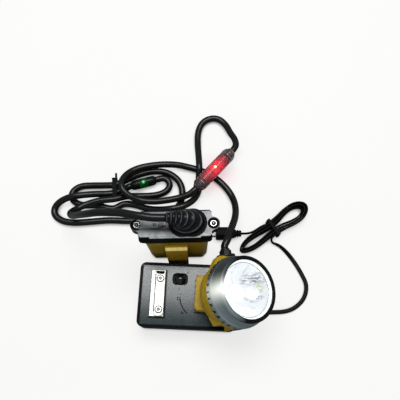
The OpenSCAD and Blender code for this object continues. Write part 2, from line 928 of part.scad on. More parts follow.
// ---- headpiece -------------------------------------------------------------------------
lip_t = 1.4;
bezel_front_r = bezel_rear_r - bezel_lean;
lens_r = bezel_front_r - bezel_ring;
lens_seat_r = lens_r + 1.6;
neck_r = bezel_rear_r - 4.1;
seat_z = -lip_t - lens_t;
gasket_h = 1;
neck_top = seat_z - gasket_h - 1.6;
neck_end = neck_top - 0.3;
rim_z = -bezel_h;
flange_t = 2.4;
flange_z = rim_z - 0.3 - flange_t;
bowl_r = bezel_rear_r - 1.5;
bowl_end = -46;
hollow_r = 17.8;
hollow_end = -40;
plate_top = plate_t + face_z;
grip_h = 7;

module bezel_solid()
    rotate_extrude()
        polygon([
            [lens_r, 0], [bezel_front_r - 0.8, 0], [bezel_front_r, -0.8],
            [bezel_front_r, -3], [bezel_rear_r - 1.6, -bezel_h + grip_h + 1.4],
            [bezel_rear_r, -bezel_h + grip_h], [bezel_rear_r, -bezel_h + 0.6],
            [bezel_rear_r - 0.6, -bezel_h], [neck_r + neck_fit, -bezel_h],
            [neck_r + neck_fit, neck_top], [lens_seat_r + 0.3, neck_top],
            [lens_seat_r + 0.3, -lip_t], [lens_r, -lip_t]
        ]);

module bezel() {
    notch_r = 1;
    color(black)
        at_head()
            difference() {
                bezel_solid();
                for (i = [0 : bezel_notches - 1])
                    rotate([0, 0, i * 360 / bezel_notches])
                        translate([bezel_rear_r + notch_r * 0.4, 0, -bezel_h - 1])
                            cylinder(r = notch_r, h = grip_h - 1.5);
            }
}

module lens()
    color([0.9, 0.95, 1, 0.4])
        at_head()
            translate([0, 0, seat_z])
                cylinder(r = lens_seat_r, h = lens_t);

module lens_gasket()
    color("#e8e8e2")
        at_head()
            translate([0, 0, seat_z - gasket_h])
                tube(lens_seat_r, lens_r - 1, gasket_h);

reflector_r = lens_r - 1.6;
reflector_depth = 15;
reflector_hole = 4.6;
led_z = seat_z - gasket_h - reflector_depth;

function mirror_r(share) = reflector_hole + (reflector_r - reflector_hole) * sqrt(share);

module reflector() {
    steps = 10;
    skin = 1;
    rim_top = seat_z - gasket_h;
    inside = [for (i = [0 : steps]) [mirror_r(i / steps), led_z + reflector_depth * i / steps]];
    outside = [
        for (i = [steps : -1 : 0])
            [mirror_r(i / steps) + skin + 0.6 * (1 - i / steps), led_z + reflector_depth * i / steps]
    ];
    color("#d9dde2")
        at_head() {
            rotate_extrude()
                polygon(concat(inside, outside));
            translate([0, 0, neck_end])
                tube(lens_seat_r, reflector_r + 0.4, rim_top - neck_end);
        }
}

star_t = 1.6;
sink_z = led_z - star_t;

module main_led() {
    base = 5;
    color("#f4e9a0")
        at_head() {
            translate([-base / 2, -base / 2, led_z])
                cube([base, base, 0.8]);
            translate([0, 0, led_z + 0.8 - join])
                intersection() {
                    sphere(2.2);
                    cylinder(r = 3, h = 3);
                }
        }
}

module led_board()
    color("#e6e8ea")
        at_head()
            translate([0, 0, sink_z])
                cylinder(r = 9, h = star_t);

sink_r = hollow_r + 3.2;
sink_t = 3;
fin_h = 3.5;
fin_l = 21;

module heat_sink()
    color("#aeb3b8")
        at_head() {
            translate([0, 0, sink_z - sink_t])
                cylinder(r = sink_r, h = sink_t);
            for (i = [-2 : 2])
                translate([i * 6 - 0.75, -fin_l / 2, sink_z - sink_t - fin_h])
                    cube([1.5, fin_l, fin_h + join]);
        }

driver_z = sink_z - sink_t - fin_h - 1.4;

module driver_board()
    color(board_green)
        at_head()
            translate([0, 0, driver_z]) {
                cylinder(r = 15, h = 1.4);
                translate([-5, -4, -1.8])
                    cube([8, 8, 1.8 + join]);
                translate([-3, -15, -3])
                    cube([6, 6, 3 + join]);
            }

gland_y = bezel_rear_r + 1.9;
button_y = bezel_rear_r - 1;
wing_reach = bezel_rear_r - 6;
wing_top = flange_z + join;
wing_h = 14.4;
port_z = wing_top - 6.2;

module bowl()
    rotate_extrude()
        polygon([
            [0, bowl_end], [bowl_r - 12.5, bowl_end], [bowl_r - 7, bowl_end + 3],
            [bowl_r - 3, bowl_end + 8], [bowl_r - 0.6, flange_z - 7],
            [bowl_r, flange_z - 1], [bowl_r, flange_z + join], [0, flange_z + join]
        ]);

// The side that carries the button, and the thinner one that carries the cable gland.
module button_wing() {
    translate([-button_d / 2 - 2, -button_y, wing_top - wing_h])
        cube([button_d + 4, button_y, wing_h]);
    translate([0, 0, wing_top - wing_h])
        linear_extrude(wing_h)
            polygon([
                [-24.5, 0], [-24.5, -13], [-22.5, 7 - wing_reach], [-19.5, 0.5 - wing_reach],
                [-18, -wing_reach], [15, -wing_reach], [24, -12], [24, 0]
            ]);
}

module gland_wing() {
    translate([0, 0, wing_top - 7])
        linear_extrude(7)
            polygon([
                [24, 0], [24, 16], [15, gland_y], [-11, gland_y], [-15, gland_y - 2.4],
                [-19.5, gland_y - 9], [-23, 12], [-23, 0]
            ]);
    translate([-8, 0, wing_top - wing_h])
        cube([18, gland_y, wing_h]);
}

// The block between the bowl and the hook plate stands level on the plate.
module at_hook()
    on_bench()
        translate([lens_at.x - 30.4, lens_at.y + 0.3, 0])
            rotate([0, 0, hook_turn])
                children();

module rear_block()
    at_hook()
        for (step = [0, 1])
            translate([-0.4, 0, plate_top])
                linear_extrude(block_h - (1 - step) * 1.6)
                    polygon(cut_plan(plate_l - 2.4 - step * 1.6, plate_w - 1.2 - step * 1.6, 3));

module housing_solid() {
    at_head() {
        translate([0, 0, flange_z])
            cylinder(r = neck_r, h = neck_end - flange_z);
        translate([0, 0, flange_z])
            cylinder(r = bezel_rear_r - 0.6, h = flange_t);
        difference() {
            union() {
                bowl();
                button_wing();
                gland_wing();
            }
            level_cut();
        }
    }
    rear_block();
}

// Everything under the level of the hook plate's top, seen from the lens's frame.
module level_cut()
    rotate([0, -beam_tilt, 0])
        rotate([0, 0, -beam_turn])
            translate([-60, -60, plate_top - lens_at.z - 60])
                cube([120, 120, 60]);

module headpiece_housing()
    color(yellow)
        difference() {
            housing_solid();
            at_head() {
                translate([0, 0, sink_z - sink_t])
                    cylinder(r = neck_r - housing_wall, h = 40);
                translate([0, 0, hollow_end])
                    cylinder(r = hollow_r, h = 40);
                translate([0, -button_y - 1, port_z])
                    rotate([-90, 0, 0])
                        cylinder(d = button_d + 2 * button_fit, h = button_pocket + 1);
                translate([0, -button_y + button_pocket - 1, port_z])
                    rotate([-90, 0, 0])
                        cylinder(d = button_stem_d + 2 * button_fit, h = 12);
                translate([0, gland_y - gland_in, port_z])
                    rotate([-90, 0, 0])
                        cylinder(d = gland_d, h = gland_in + 1);
                translate([0, hollow_r - 4, port_z])
                    rotate([-90, 0, 0])
                        cylinder(d = stem_bore, h = gland_y - hollow_r + 4);
            }
            at_hook()
                hook_screw_places()
                    translate([0, 0, face_z])
                        cylinder(d = 2.5, h = plate_t + block_h - 1);
        }

module hook_screw_places()
    for (sx = [-1, 1], sy = [-1, 1])
        translate([sx * plate_w / 3, sy * plate_w / 3, 0])
            children();

module hook_plate() {
    tooth = 3;
    color(black)
        at_hook()
            difference() {
                translate([-plate_l / 2, -plate_w / 2, face_z])
                    cube([plate_l, plate_w, plate_t]);
                for (y = [-plate_w / 2 + tooth : 2 * tooth : plate_w / 2 - tooth])
                    translate([-plate_l / 2 - 1, y, face_z - 1])
                        cube([1.8, tooth, plate_t + 2]);
                hook_screw_places() {
                    translate([0, 0, face_z - 1])
                        cylinder(d = 2.6, h = plate_t + 2);
                    translate([0, 0, face_z - 1])
                        cylinder(d = 5, h = 2.4);
                }
            }
}

module hook_screws()
    color(steel)
        at_hook()
            hook_screw_places()
                translate([0, 0, face_z + 1.4]) {
                    translate([0, 0, -1.2])
                        cylinder(d = 4.6, h = 1.2);
                    translate([0, 0, -join])
                        cylinder(d = 2.5, h = plate_t + block_h - 4);
                }

button_fit = 0.1;
button_stem_d = 5;
button_proud = 0.6;
button_in = 3;
button_pocket = 5;

module power_button()
    color(rubber)
        at_head()
            translate([0, -button_y - button_proud, port_z])
                rotate([-90, 0, 0]) {
                    cylinder(d = button_d, h = button_proud + button_in);
                    translate([0, 0, button_proud + button_in - join])
                        cylinder(d = button_stem_d, h = 8);
                }

module button_spring()
    color(steel)
        at_head()
            translate([0, -button_y + button_in, port_z])
                rotate([-90, 0, 0])
                    tube(button_d / 2 - 0.6, button_stem_d / 2 + 0.5, button_pocket - button_in);

gland_d = 9.4;
gland_in = 3;
gland_sleeve = 8;
gland_flange_t = 1.8;

module head_gland()
    color(black)
        at_head()
            translate([0, gland_y, port_z])
                rotate([-90, 0, 0])
                    difference() {
                        union() {
                            translate([0, 0, -gland_in])
                                cylinder(d = gland_d - 0.04, h = gland_in + join);
                            cylinder(d = gland_d + 8.6, h = gland_flange_t);
                            cylinder(d = gland_d - 0.4, h = gland_sleeve);
                        }
                        translate([0, 0, -gland_in - 1])
                            cylinder(d = stem_bore, h = gland_in + 1);
                    }

module head_gland_nut()
    color(black)
        at_head()
            translate([0, gland_y + gland_flange_t, port_z])
                rotate([-90, 0, 0])
                    difference() {
                        cylinder(d = gland_d + 2.4, h = 4.4, $fn = 8);
                        translate([0, 0, -1])
                            cylinder(d = gland_d - 0.36, h = 7);
                    }

// ---- main cable ------------------------------------------------------------------------
beacon_from = [-7.2, 95.4, 17.6];
beacon_to = [32.6, 140.6, 14.4];
pilot_from = [-78.5, 102, 6.6];
pilot_to = [-52, 109.3, 6.6];
beacon_way = unit(beacon_to - beacon_from);
pilot_way = unit(pilot_to - pilot_from);
boot_way = [cos(battery_turn), sin(battery_turn), 0];
boot_exit = [battery_at.x, battery_at.y, lid_top + gland_foot + boot_rise + boot_bend]
    + (boot_x - boot_bend - boot_sleeve) * boot_way
    + boot_y * [-sin(battery_turn), cos(battery_turn), 0];
gland_exit = from_lens([0, gland_y + gland_sleeve, port_z]);

// Battery boot to green lamp: over and down in a big drop, under the tie, round the small loop.
route_a = [
    boot_exit, boot_exit - 3 * boot_way, [-45, 37, 107.9], [-58, 39.2, 106.6], [-71, 42.4, 103.2],
    [-84, 45, 96.5], [-97, 47.8, 86.8], [-110, 50.4, 73.6], [-121.5, 54, 58],
    [-130, 57.5, 43.5], [-136, 62, 31], [-138.5, 67.5, 21], [-134.5, 73.5, 14],
    [-126, 78.5, 12.5], [-112, 83, 12.5], [-96, 85.2, 12], [-82, 89.5, 8.5],
    [-70, 91, 4.5], [-59, 91.5, 4], [-48.5, 93, 4], [-40, 97, 4.5],
    [-36.5, 103, 5.5], [-38.8, 108.8, 6.4], [-44, 111, 6.6], pilot_to + 2 * pilot_way, pilot_to
];
// Green lamp to red lamp: through the tie, the outer loop, behind the battery, the ring,
// the tie again, the inner loop, and the tall loop at the back.
route_b = [
    pilot_from, pilot_from - 2 * pilot_way, [-87, 98.4, 6], [-96, 94.5, 5.4], [-105, 93, 6.5], [-118, 91.5, 10],
    [-131, 89.5, 12.4], [-143, 87.5, 12.2], [-153, 84.5, 8.5], [-160, 79.5, 4.8],
    [-161.5, 73, 4], [-158, 67, 4], [-150, 62.5, 4], [-138, 61, 4], [-122, 62, 4],
    [-102, 63.5, 4], [-82, 63, 4], [-62, 63, 4], [-45, 66, 4], [-33, 72.5, 4],
    [-25.5, 81.5, 4], [-22.5, 92.5, 4], [-24, 103.5, 4], [-30, 112.5, 4],
    [-42, 119.3, 4], [-57, 120, 4], [-72, 116, 4], [-85.5, 109.5, 4.4],
    [-97, 104, 5.4], [-110, 103.5, 4.6], [-123, 103.5, 4], [-134, 102.5, 4],
    [-141.5, 98, 4], [-144, 91.5, 4], [-140.5, 85, 4], [-132, 81, 4], [-116, 80.5, 4],
    [-98, 76.8, 4], [-86, 82, 4], [-74, 81, 4], [-60, 76.5, 5], [-47, 74.5, 8],
    [-33.5, 74.3, 12], [-21, 77.5, 11.6], [-10.5, 85.5, 8], [-5, 96.5, 5],
    [-4.5, 108, 6.5], [-3.8, 121, 12.4], [-4.5, 136, 9.5], [-5.5, 153, 5], [-5, 168, 4],
    [-0.5, 179.5, 4], [8.5, 185.5, 4], [18.5, 185, 4], [26.5, 177.5, 4.5],
    [31.5, 166.5, 7], [36, 156.6, 10.6], [37, 148, 13.4], beacon_to + 2.4 * beacon_way, beacon_to
];
// Red lamp to headpiece gland: the big ring, then down past the battery and up to the gland.
route_c = [
    beacon_from, beacon_from - 2.4 * beacon_way, [-14.6, 89.2, 16.4], [-25.5, 85.8, 14.4], [-39.5, 83.2, 13.6],
    [-53.5, 82, 13.4], [-66.5, 83, 14.4], [-77.5, 86.5, 17.8], [-84.5, 92, 19.8],
    [-87.5, 99.5, 19.6], [-85.5, 108.5, 16.6], [-79, 116.5, 13], [-68.5, 122, 11],
    [-55, 125, 10.4], [-41.5, 126.5, 9.4], [-28, 126.8, 7], [-15.5, 125, 4.6],
    [-3, 121.5, 4], [8.5, 116, 4], [18.5, 108.5, 4], [27.5, 98.5, 4], [33.5, 86.5, 6],
    [35, 73, 14], [33.2, 60, 25.4], [29.4, 48, 37], [26, 38.4, 45.6], [23.6, 31, 49.6],
    gland_exit + 3 * beam_up, gland_exit
];

module main_cable_a()
    color(rubber)
        on_bench()
            round_cord(route_a, cable_d, [0, 1, 0], 8);

module main_cable_b()
    color(rubber)
        on_bench()
            round_cord(route_b, cable_d, [0, 0, 1], 8);

module main_cable_c()
    color(rubber)
        on_bench()
            round_cord(route_c, cable_d, [0, 0, 1], 8);

// Releasable strap round the two runs that cross it side by side.
tie_at = [-96.5, 99.2, 5.2];
tie_turn = 4;
tie_w = 5;
tie_t = 0.8;
tie_in = [18.9, 8.2];

module cable_tie()
    color(rubber)
        on_bench()
            translate(tie_at)
                rotate([0, 0, tie_turn]) {
                    rotate([90, 0, 90])
                        translate([0, 0, -tie_w / 2])
                            linear_extrude(tie_w)
                                difference() {
                                    square([tie_in.x + 2 * tie_t, tie_in.y + 2 * tie_t], center = true);
                                    square(tie_in, center = true);
                                }
                    translate([-tie_w / 2 - 0.4, tie_in.x / 2 + tie_t - join, 0])
                        cube([tie_w + 0.8, 2, 3.6]);
                    translate([0.4, tie_in.x / 2 + tie_t + 1.6, 1])
                        cube([2.2, 6, 0.9]);
                }

// ---- in-line lamps ---------------------------------------------------------------------
// Lays children, drawn along +Z and centred, along a line between two points.
module between(a, b) {
    v = b - a;
    on_bench()
        translate((a + b) / 2)
            rotate([0, acos(v.z / norm(v)), atan2(v.y, v.x)])
                children();
}

beacon_len = norm(beacon_to - beacon_from);
pilot_len = norm(pilot_to - pilot_from);

module inline_tube(d, l)
    translate([0, 0, -l / 2])
        tube(d / 2, d / 2 - tube_wall, l);

// An end plug: a spigot in the tube, a shoulder, and a taper that the cable enters.
module inline_end(d, l, total) {
    spigot = 3;
    nose = total / 2 - l / 2;
    translate([0, 0, l / 2 - spigot])
        cylinder(d = d - 2 * tube_wall - 0.04, h = spigot + join);
    translate([0, 0, l / 2])
        cylinder(d1 = d, d2 = cable_d + 2.4, h = nose);
}

module inline_board(d, l)
    translate([-d * 0.3, -0.6, -l / 2 + 4])
        cube([d * 0.6, 1.2, l - 8]);

module beacon_tube()
    color([0.9, 0.2, 0.25, 0.6])
        between(beacon_from, beacon_to)
            inline_tube(beacon_d, beacon_l);

module beacon_ends()
    color("#6d6f73")
        between(beacon_from, beacon_to)
            for (side = [0, 1])
                mirror([0, 0, side])
                    inline_end(beacon_d, beacon_l, beacon_len);

module beacon_board()
    color("#c22a2a")
        between(beacon_from, beacon_to) {
            inline_board(beacon_d - 2 * tube_wall, beacon_l);
            for (z = [-8, 0, 8])
                translate([0, 0.6 - join, z])
                    rotate([-90, 0, 0])
                        cylinder(d = 4, h = 2.4);
        }

pilot_l = pilot_len - 9;

module pilot_tube()
    color([0.2, 0.3, 0.25, 0.7])
        between(pilot_from, pilot_to)
            inline_tube(pilot_d, pilot_l);

module pilot_ends()
    color(rubber)
        between(pilot_from, pilot_to)
            for (side = [0, 1])
                mirror([0, 0, side])
                    inline_end(pilot_d, pilot_l, pilot_len);

module pilot_board()
    color("#2fae5a")
        between(pilot_from, pilot_to) {
            inline_board(pilot_d - 2 * tube_wall, pilot_l);
            translate([0, 0.6 - join, 0])
                rotate([-90, 0, 0])
                    cylinder(d = 3, h = 2);
        }

// ---- low-voltage lead ------------------------------------------------------------------
connector_at = [34, 48.2];
connector_l = 20;
connector_h = 13;
connector_nose_w = 9;
relief_l = 7;
blade_in = 3;

// Moulded plug on the lead's free end, blades towards -X, lying on its flat side.
module lead_plug() {
    mid = connector_h / 2;
    color(black)
        on_bench()
            translate([connector_at.x, connector_at.y, 0])
                difference() {
                    union() {
                        translate([-connector_l, 0, mid])
                            rotate([0, 90, 0])
                                rotate([0, 0, 22.5])
                                    cylinder(d = connector_h / cos(22.5), h = connector_l - 6, $fn = 8);
                        translate([-6 - join, 0, mid])
                            rotate([0, 90, 0])
                                cylinder(d1 = connector_h, d2 = connector_nose_w, h = 6 + join);
                        for (i = [0 : 2])
                            translate([i * 2.4, 0, mid])
                                rotate([0, 90, 0])
                                    cylinder(d = connector_nose_w - 0.6 - i * 0.7, h = 1.4);
                        translate([-1, 0, mid])
                            rotate([0, 90, 0])
                                cylinder(d = lead_w + 1.6, h = relief_l + 1);
                    }
                    blades();
                }
}

module blades()
    for (side = [-1, 1])
        translate([-connector_l - blade_l, side * blade_pitch / 2 - blade_t / 2,
                   connector_h / 2 - blade_w / 2])
            cube([blade_l + blade_in, blade_t, blade_w]);

module plug_blades()
    color(brass)
        on_bench()
            translate([connector_at.x, connector_at.y, 0])
                blades();

// The hank: loops like a long eight that does not cross, drawn in at the tie, in two layers.
lead_tie_w = 3.4;
lead_tie_t = 1;
hank_at = [75.4, 54.4, 0];
hank_turn = 35;
hank_turns = 4.5;
hank_half_l = 45;
hank_upper_w = 16.5;
hank_lower_w = 11.5;
hank_waist_w = 7.64;
hank_step = 3.1;
hank_z = lead_w / 2 + lead_tie_t + 0.2;
hank_layer = lead_w + 0.5;
hank_rings = 24;
hank_total = hank_turns * hank_rings;

function hank_inset(v) = hank_step * min(v, hank_turns - v);
function hank_rise(v) =
    let (share = (v - hank_turns / 2 + 0.1) / 0.2)
        hank_layer * (share <= 0 ? 0 : share >= 1 ? 1 : share * share * (3 - 2 * share));
function hank_half_w(c) =
    hank_waist_w + ((c > 0 ? hank_upper_w : hank_lower_w) - hank_waist_w) * pow(sin(90 * abs(c)), 2);
function hank_point(i) =
    let (
        v = i / hank_rings,
        t = 270 + 360 * v,
        inset = hank_inset(v),
        x = (hank_half_l - inset) * cos(t),
        y = -sin(t) * (hank_half_w(cos(t)) - inset)
    )
        [x, y, hank_z + hank_rise(v)];
hank_route = [for (i = [0 : hank_total]) hank_point(i)];
hank_gap = min([
    for (i = [0 : hank_total], j = [i + 6 : 1 : hank_total])
        let (d = hank_route[i] - hank_route[j])
            abs(d.z) > 4 ? abs(d.z) - lead_w : norm([d.x, d.y]) - lead_t
]);
echo(hank_least_gap = hank_gap);

module at_hank()
    on_bench()
        translate(hank_at)
            rotate([0, 0, hank_turn])
                children();

module lead_hank()
    color(rubber)
        at_hank()
            swept(hank_route, level(hank_route), same(lead_t / 2, hank_route),
                  same(lead_w / 2, hank_route), 6);

function on_floor(q) =
    hank_at + [
        q.x * cos(hank_turn) - q.y * sin(hank_turn),
        q.x * sin(hank_turn) + q.y * cos(hank_turn),
        q.z
    ];

module lead_tie() {
    wide = 2 * (hank_waist_w + lead_t / 2 + 0.4);
    tall = lead_w + hank_layer + 0.6;
    color(rubber)
        at_hank()
            translate([0, 0, lead_tie_t + 0.1 + tall / 2])
                rotate([90, 0, 90])
                    translate([0, 0, -lead_tie_w / 2])
                        linear_extrude(lead_tie_w)
                            difference() {
                                square([wide + 2 * lead_tie_t, tall + 2 * lead_tie_t], center = true);
                                square([wide, tall], center = true);
                            }
}

lead_out = [connector_at.x + relief_l, connector_at.y, connector_h / 2];
route_lead_a = [
    lead_out, [45.5, 48.2, 6.4], [51, 49.4, 5], [56.6, 52.4, 3.8], [62, 56, 3.4],
    [65.8, 57.9, 3.4], on_floor(hank_route[0] - [2.5, 0, 0]), on_floor(hank_route[0])
];

module lead_stretch_a()
    color(rubber)
        on_bench()
            swept(route_lead_a, level(route_lead_a), same(lead_t / 2, route_lead_a),
                  same(lead_w / 2, route_lead_a), 8);

// The lead drops off the hank standing on edge, then lies down flat.
grommet_end = [
    dock_at.x + (dock_w / 2 + grommet_out) * cos(dock_turn) - lead_y * sin(dock_turn),
    dock_at.y + (dock_w / 2 + grommet_out) * sin(dock_turn) + lead_y * cos(dock_turn),
    lead_z
];
route_lead_b = [
    on_floor(hank_route[hank_total]), [76.8, 46.2, 8.3], [74.4, 44.2, 7.8], [73, 41.6, 6.2],
    [74.2, 38.9, 4.4], [77.4, 37.6, 3.3], [81, 36, 2.8], [86, 32, 2.2], [91, 26.5, 1.6],
    [96, 19.5, 1.4], [100.5, 12, 1.4], [104.5, 4, 1.4], [107.5, -4, 1.4], [107.3, -12, 1.4],
    [104, -20, 1.4], [98, -26.5, 1.4], [91, -30.8, 1.4], [83, -33, 1.4], [73, -33.6, 1.4],
    [63, -33.8, 1.5], [56, -33.9, 2.6], [50, -33.9, 4.8], [44.5, -33.9, 6.7], grommet_end
];
lead_roll = [
    for (i = [0 : len(route_lead_b) - 1]) i < 5 ? 90 : i < 10 ? 90 - (i - 4) * 15 : 0
];

module lead_stretch_b()
    color(rubber)
        on_bench()
            swept(route_lead_b, rolled(route_lead_b, level(route_lead_b), lead_roll),
                  same(lead_w / 2, route_lead_b), same(lead_t / 2, route_lead_b), 8);

// ---- the whole set ---------------------------------------------------------------------
battery_case();
cell_tray();
cells();
cell_straps();
protection_board();
battery_collar();
lid_inserts();
lid_gasket();
battery_lid();
lid_screws();
boot_gland();
gland_locknut();
cable_boot();
belt_clip();
clip_screws();
dock_feet();
dock_base();
dock_board();
charge_transformer();
dock_top();
dock_screws();
dock_bracket();
bracket_spacers();
bracket_screws();
contact_stud();
stud_spring();
stud_clip();
lead_grommet();
headpiece_housing();
hook_plate();
hook_screws();
bezel();
lens();
lens_gasket();
reflector();
main_led();
led_board();
heat_sink();
driver_board();
power_button();
button_spring();
head_gland();
head_gland_nut();
main_cable_a();
main_cable_b();
main_cable_c();
cable_tie();
beacon_tube();
beacon_ends();
beacon_board();
pilot_tube();
pilot_ends();
pilot_board();
lead_plug();
plug_blades();
lead_stretch_a();
lead_hank();
lead_stretch_b();
lead_tie();
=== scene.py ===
"""Corded miner's cap lamp set: battery pack, cable with in-line lamps, headpiece, dock and lead."""

import json
import math

import bpy
from mathutils import Matrix, Vector


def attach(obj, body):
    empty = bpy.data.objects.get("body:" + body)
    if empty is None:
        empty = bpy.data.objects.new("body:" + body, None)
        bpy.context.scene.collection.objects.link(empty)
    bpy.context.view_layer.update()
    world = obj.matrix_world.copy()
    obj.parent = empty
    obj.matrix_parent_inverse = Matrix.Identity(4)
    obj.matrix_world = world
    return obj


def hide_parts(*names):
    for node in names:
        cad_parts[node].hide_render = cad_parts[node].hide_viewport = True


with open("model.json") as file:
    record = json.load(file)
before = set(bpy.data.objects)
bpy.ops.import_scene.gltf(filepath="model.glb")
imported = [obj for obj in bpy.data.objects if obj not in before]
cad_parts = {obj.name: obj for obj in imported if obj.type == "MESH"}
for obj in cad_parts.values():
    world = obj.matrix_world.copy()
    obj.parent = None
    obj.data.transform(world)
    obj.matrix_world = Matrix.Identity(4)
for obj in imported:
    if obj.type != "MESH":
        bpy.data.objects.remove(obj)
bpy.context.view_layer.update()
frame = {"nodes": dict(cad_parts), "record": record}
nodes = frame["nodes"]
MM = 0.001
# The whole layout is moved by this much, as in part.scad.
SHIFT = Vector((-0.35, 1.5, 0.0))
HERE = bpy.context.scene


def put(x, y, z=0.0):
    """A point of the layout, given in millimetres, in the row frame."""
    return (Vector((x, y, z)) + SHIFT) * MM


class Place:
    """A unit's own frame: millimetres in, row frame out."""

    def __init__(self, origin, side, up, out):
        self.origin, self.side, self.up, self.out = origin, Vector(side), Vector(up), Vector(out)

    def at(self, x, y, z=0.0):
        return self.origin + (self.side * x + self.up * y + self.out * z) * MM

    def way(self, x, y, z=0.0):
        return self.side * x + self.up * y + self.out * z


def level_place(x, y, z, turn):
    c, w = math.cos(math.radians(turn)), math.sin(math.radians(turn))
    return Place(put(x, y, z), (c, w, 0), (-w, c, 0), (0, 0, 1))


def line_place(a, b):
    """A place in the middle of a line, its third axis along it."""
    out = (b - a).normalized()
    side = Vector((0, 0, 1)).cross(out).normalized()
    return Place((a + b) / 2, side, out.cross(side), out)


BATTERY = level_place(-25.5, 36.2, 0.0, 1.4)
DOCK = level_place(-15.0, -20.0, 0.0, -2.5)
# The headpiece leans to the right by TILT, and its beam points a little backwards by BEAM.
TILT, BEAM = math.radians(31.0), math.radians(7.0)
HEAD = Place(
    put(41.0, -19.6, 75.0),
    (math.cos(BEAM) * math.cos(TILT), math.sin(BEAM) * math.cos(TILT), -math.sin(TILT)),
    (-math.sin(BEAM), math.cos(BEAM), 0.0),
    (math.cos(BEAM) * math.sin(TILT), math.sin(BEAM) * math.sin(TILT), math.cos(TILT)),
)

BEACON_FROM, BEACON_TO = put(-7.2, 95.4, 17.6), put(32.6, 140.6, 14.4)
PILOT_FROM, PILOT_TO = put(-78.5, 102, 6.6), put(-52, 109.3, 6.6)
BEACON = line_place(BEACON_FROM, BEACON_TO)
PILOT = line_place(PILOT_FROM, PILOT_TO)

# ---- camera -----------------------------------------------------------------------------
SENSOR_WIDTH, LENS = 36.0, 44.37
CAMERA_AT, CAMERA_LEAN = put(-3.0, -80.41, 518.33), math.radians(18.0)


def set_camera():
    data = bpy.data.cameras.new("camera")
    data.sensor_width = SENSOR_WIDTH
    data.lens = LENS
    data.clip_start = 0.01
    data.clip_end = 20.0
    camera = bpy.data.objects.new("camera", data)
    HERE.collection.objects.link(camera)
    camera.location = CAMERA_AT
    camera.rotation_euler = (CAMERA_LEAN, 0.0, 0.0)
    HERE.camera = camera


set_camera()

# ---- sizes that a look and a mesh share, or that shape one look (mm) --------------------
# Where the lamp's spill, painted on the bezel as a glow, is brightest.
SPILL_AT = (-27.5, 1.0)
# Heights between which the belt clip carries a painted highlight along its fold.
CLIP_FOLD = (63.4, 70.8)
# The boot: where its bend starts, the bend's radius, its ribs and how they crowd towards the tip.
BOOT_X, BOOT_Y, BOOT_Z = 11.4, 0.8, 92.0
BOOT_BEND = 16.0
BOOT_RIBS, BOOT_SPREAD = 6.0, 1.4
# Streaky patches painted into the bowl's glow: x, y, width, height, colour, grain.
BOWL_PATCHES = [
    (14.0, 10.5, 13.0, 6.5, (0.2, 0.2, 0.24), 0.9),
    (13.8, -6.2, 8.5, 5.0, (0.2, 0.3, 0.4), 0.8),
    (19.8, 2.3, 4.0, 6.5, (0.6, 0.66, 0.3), 0.9),
]
# The painted shadow round the dock's bracket, its middle and half sizes; the textured plate's half
# sizes.
BRACKET_SHADOW_AT, BRACKET_SHADOW_HALF = (-29.3, 0.8), (6.75, 22.5)
PLATE_HALF = (45.6, 28.6)


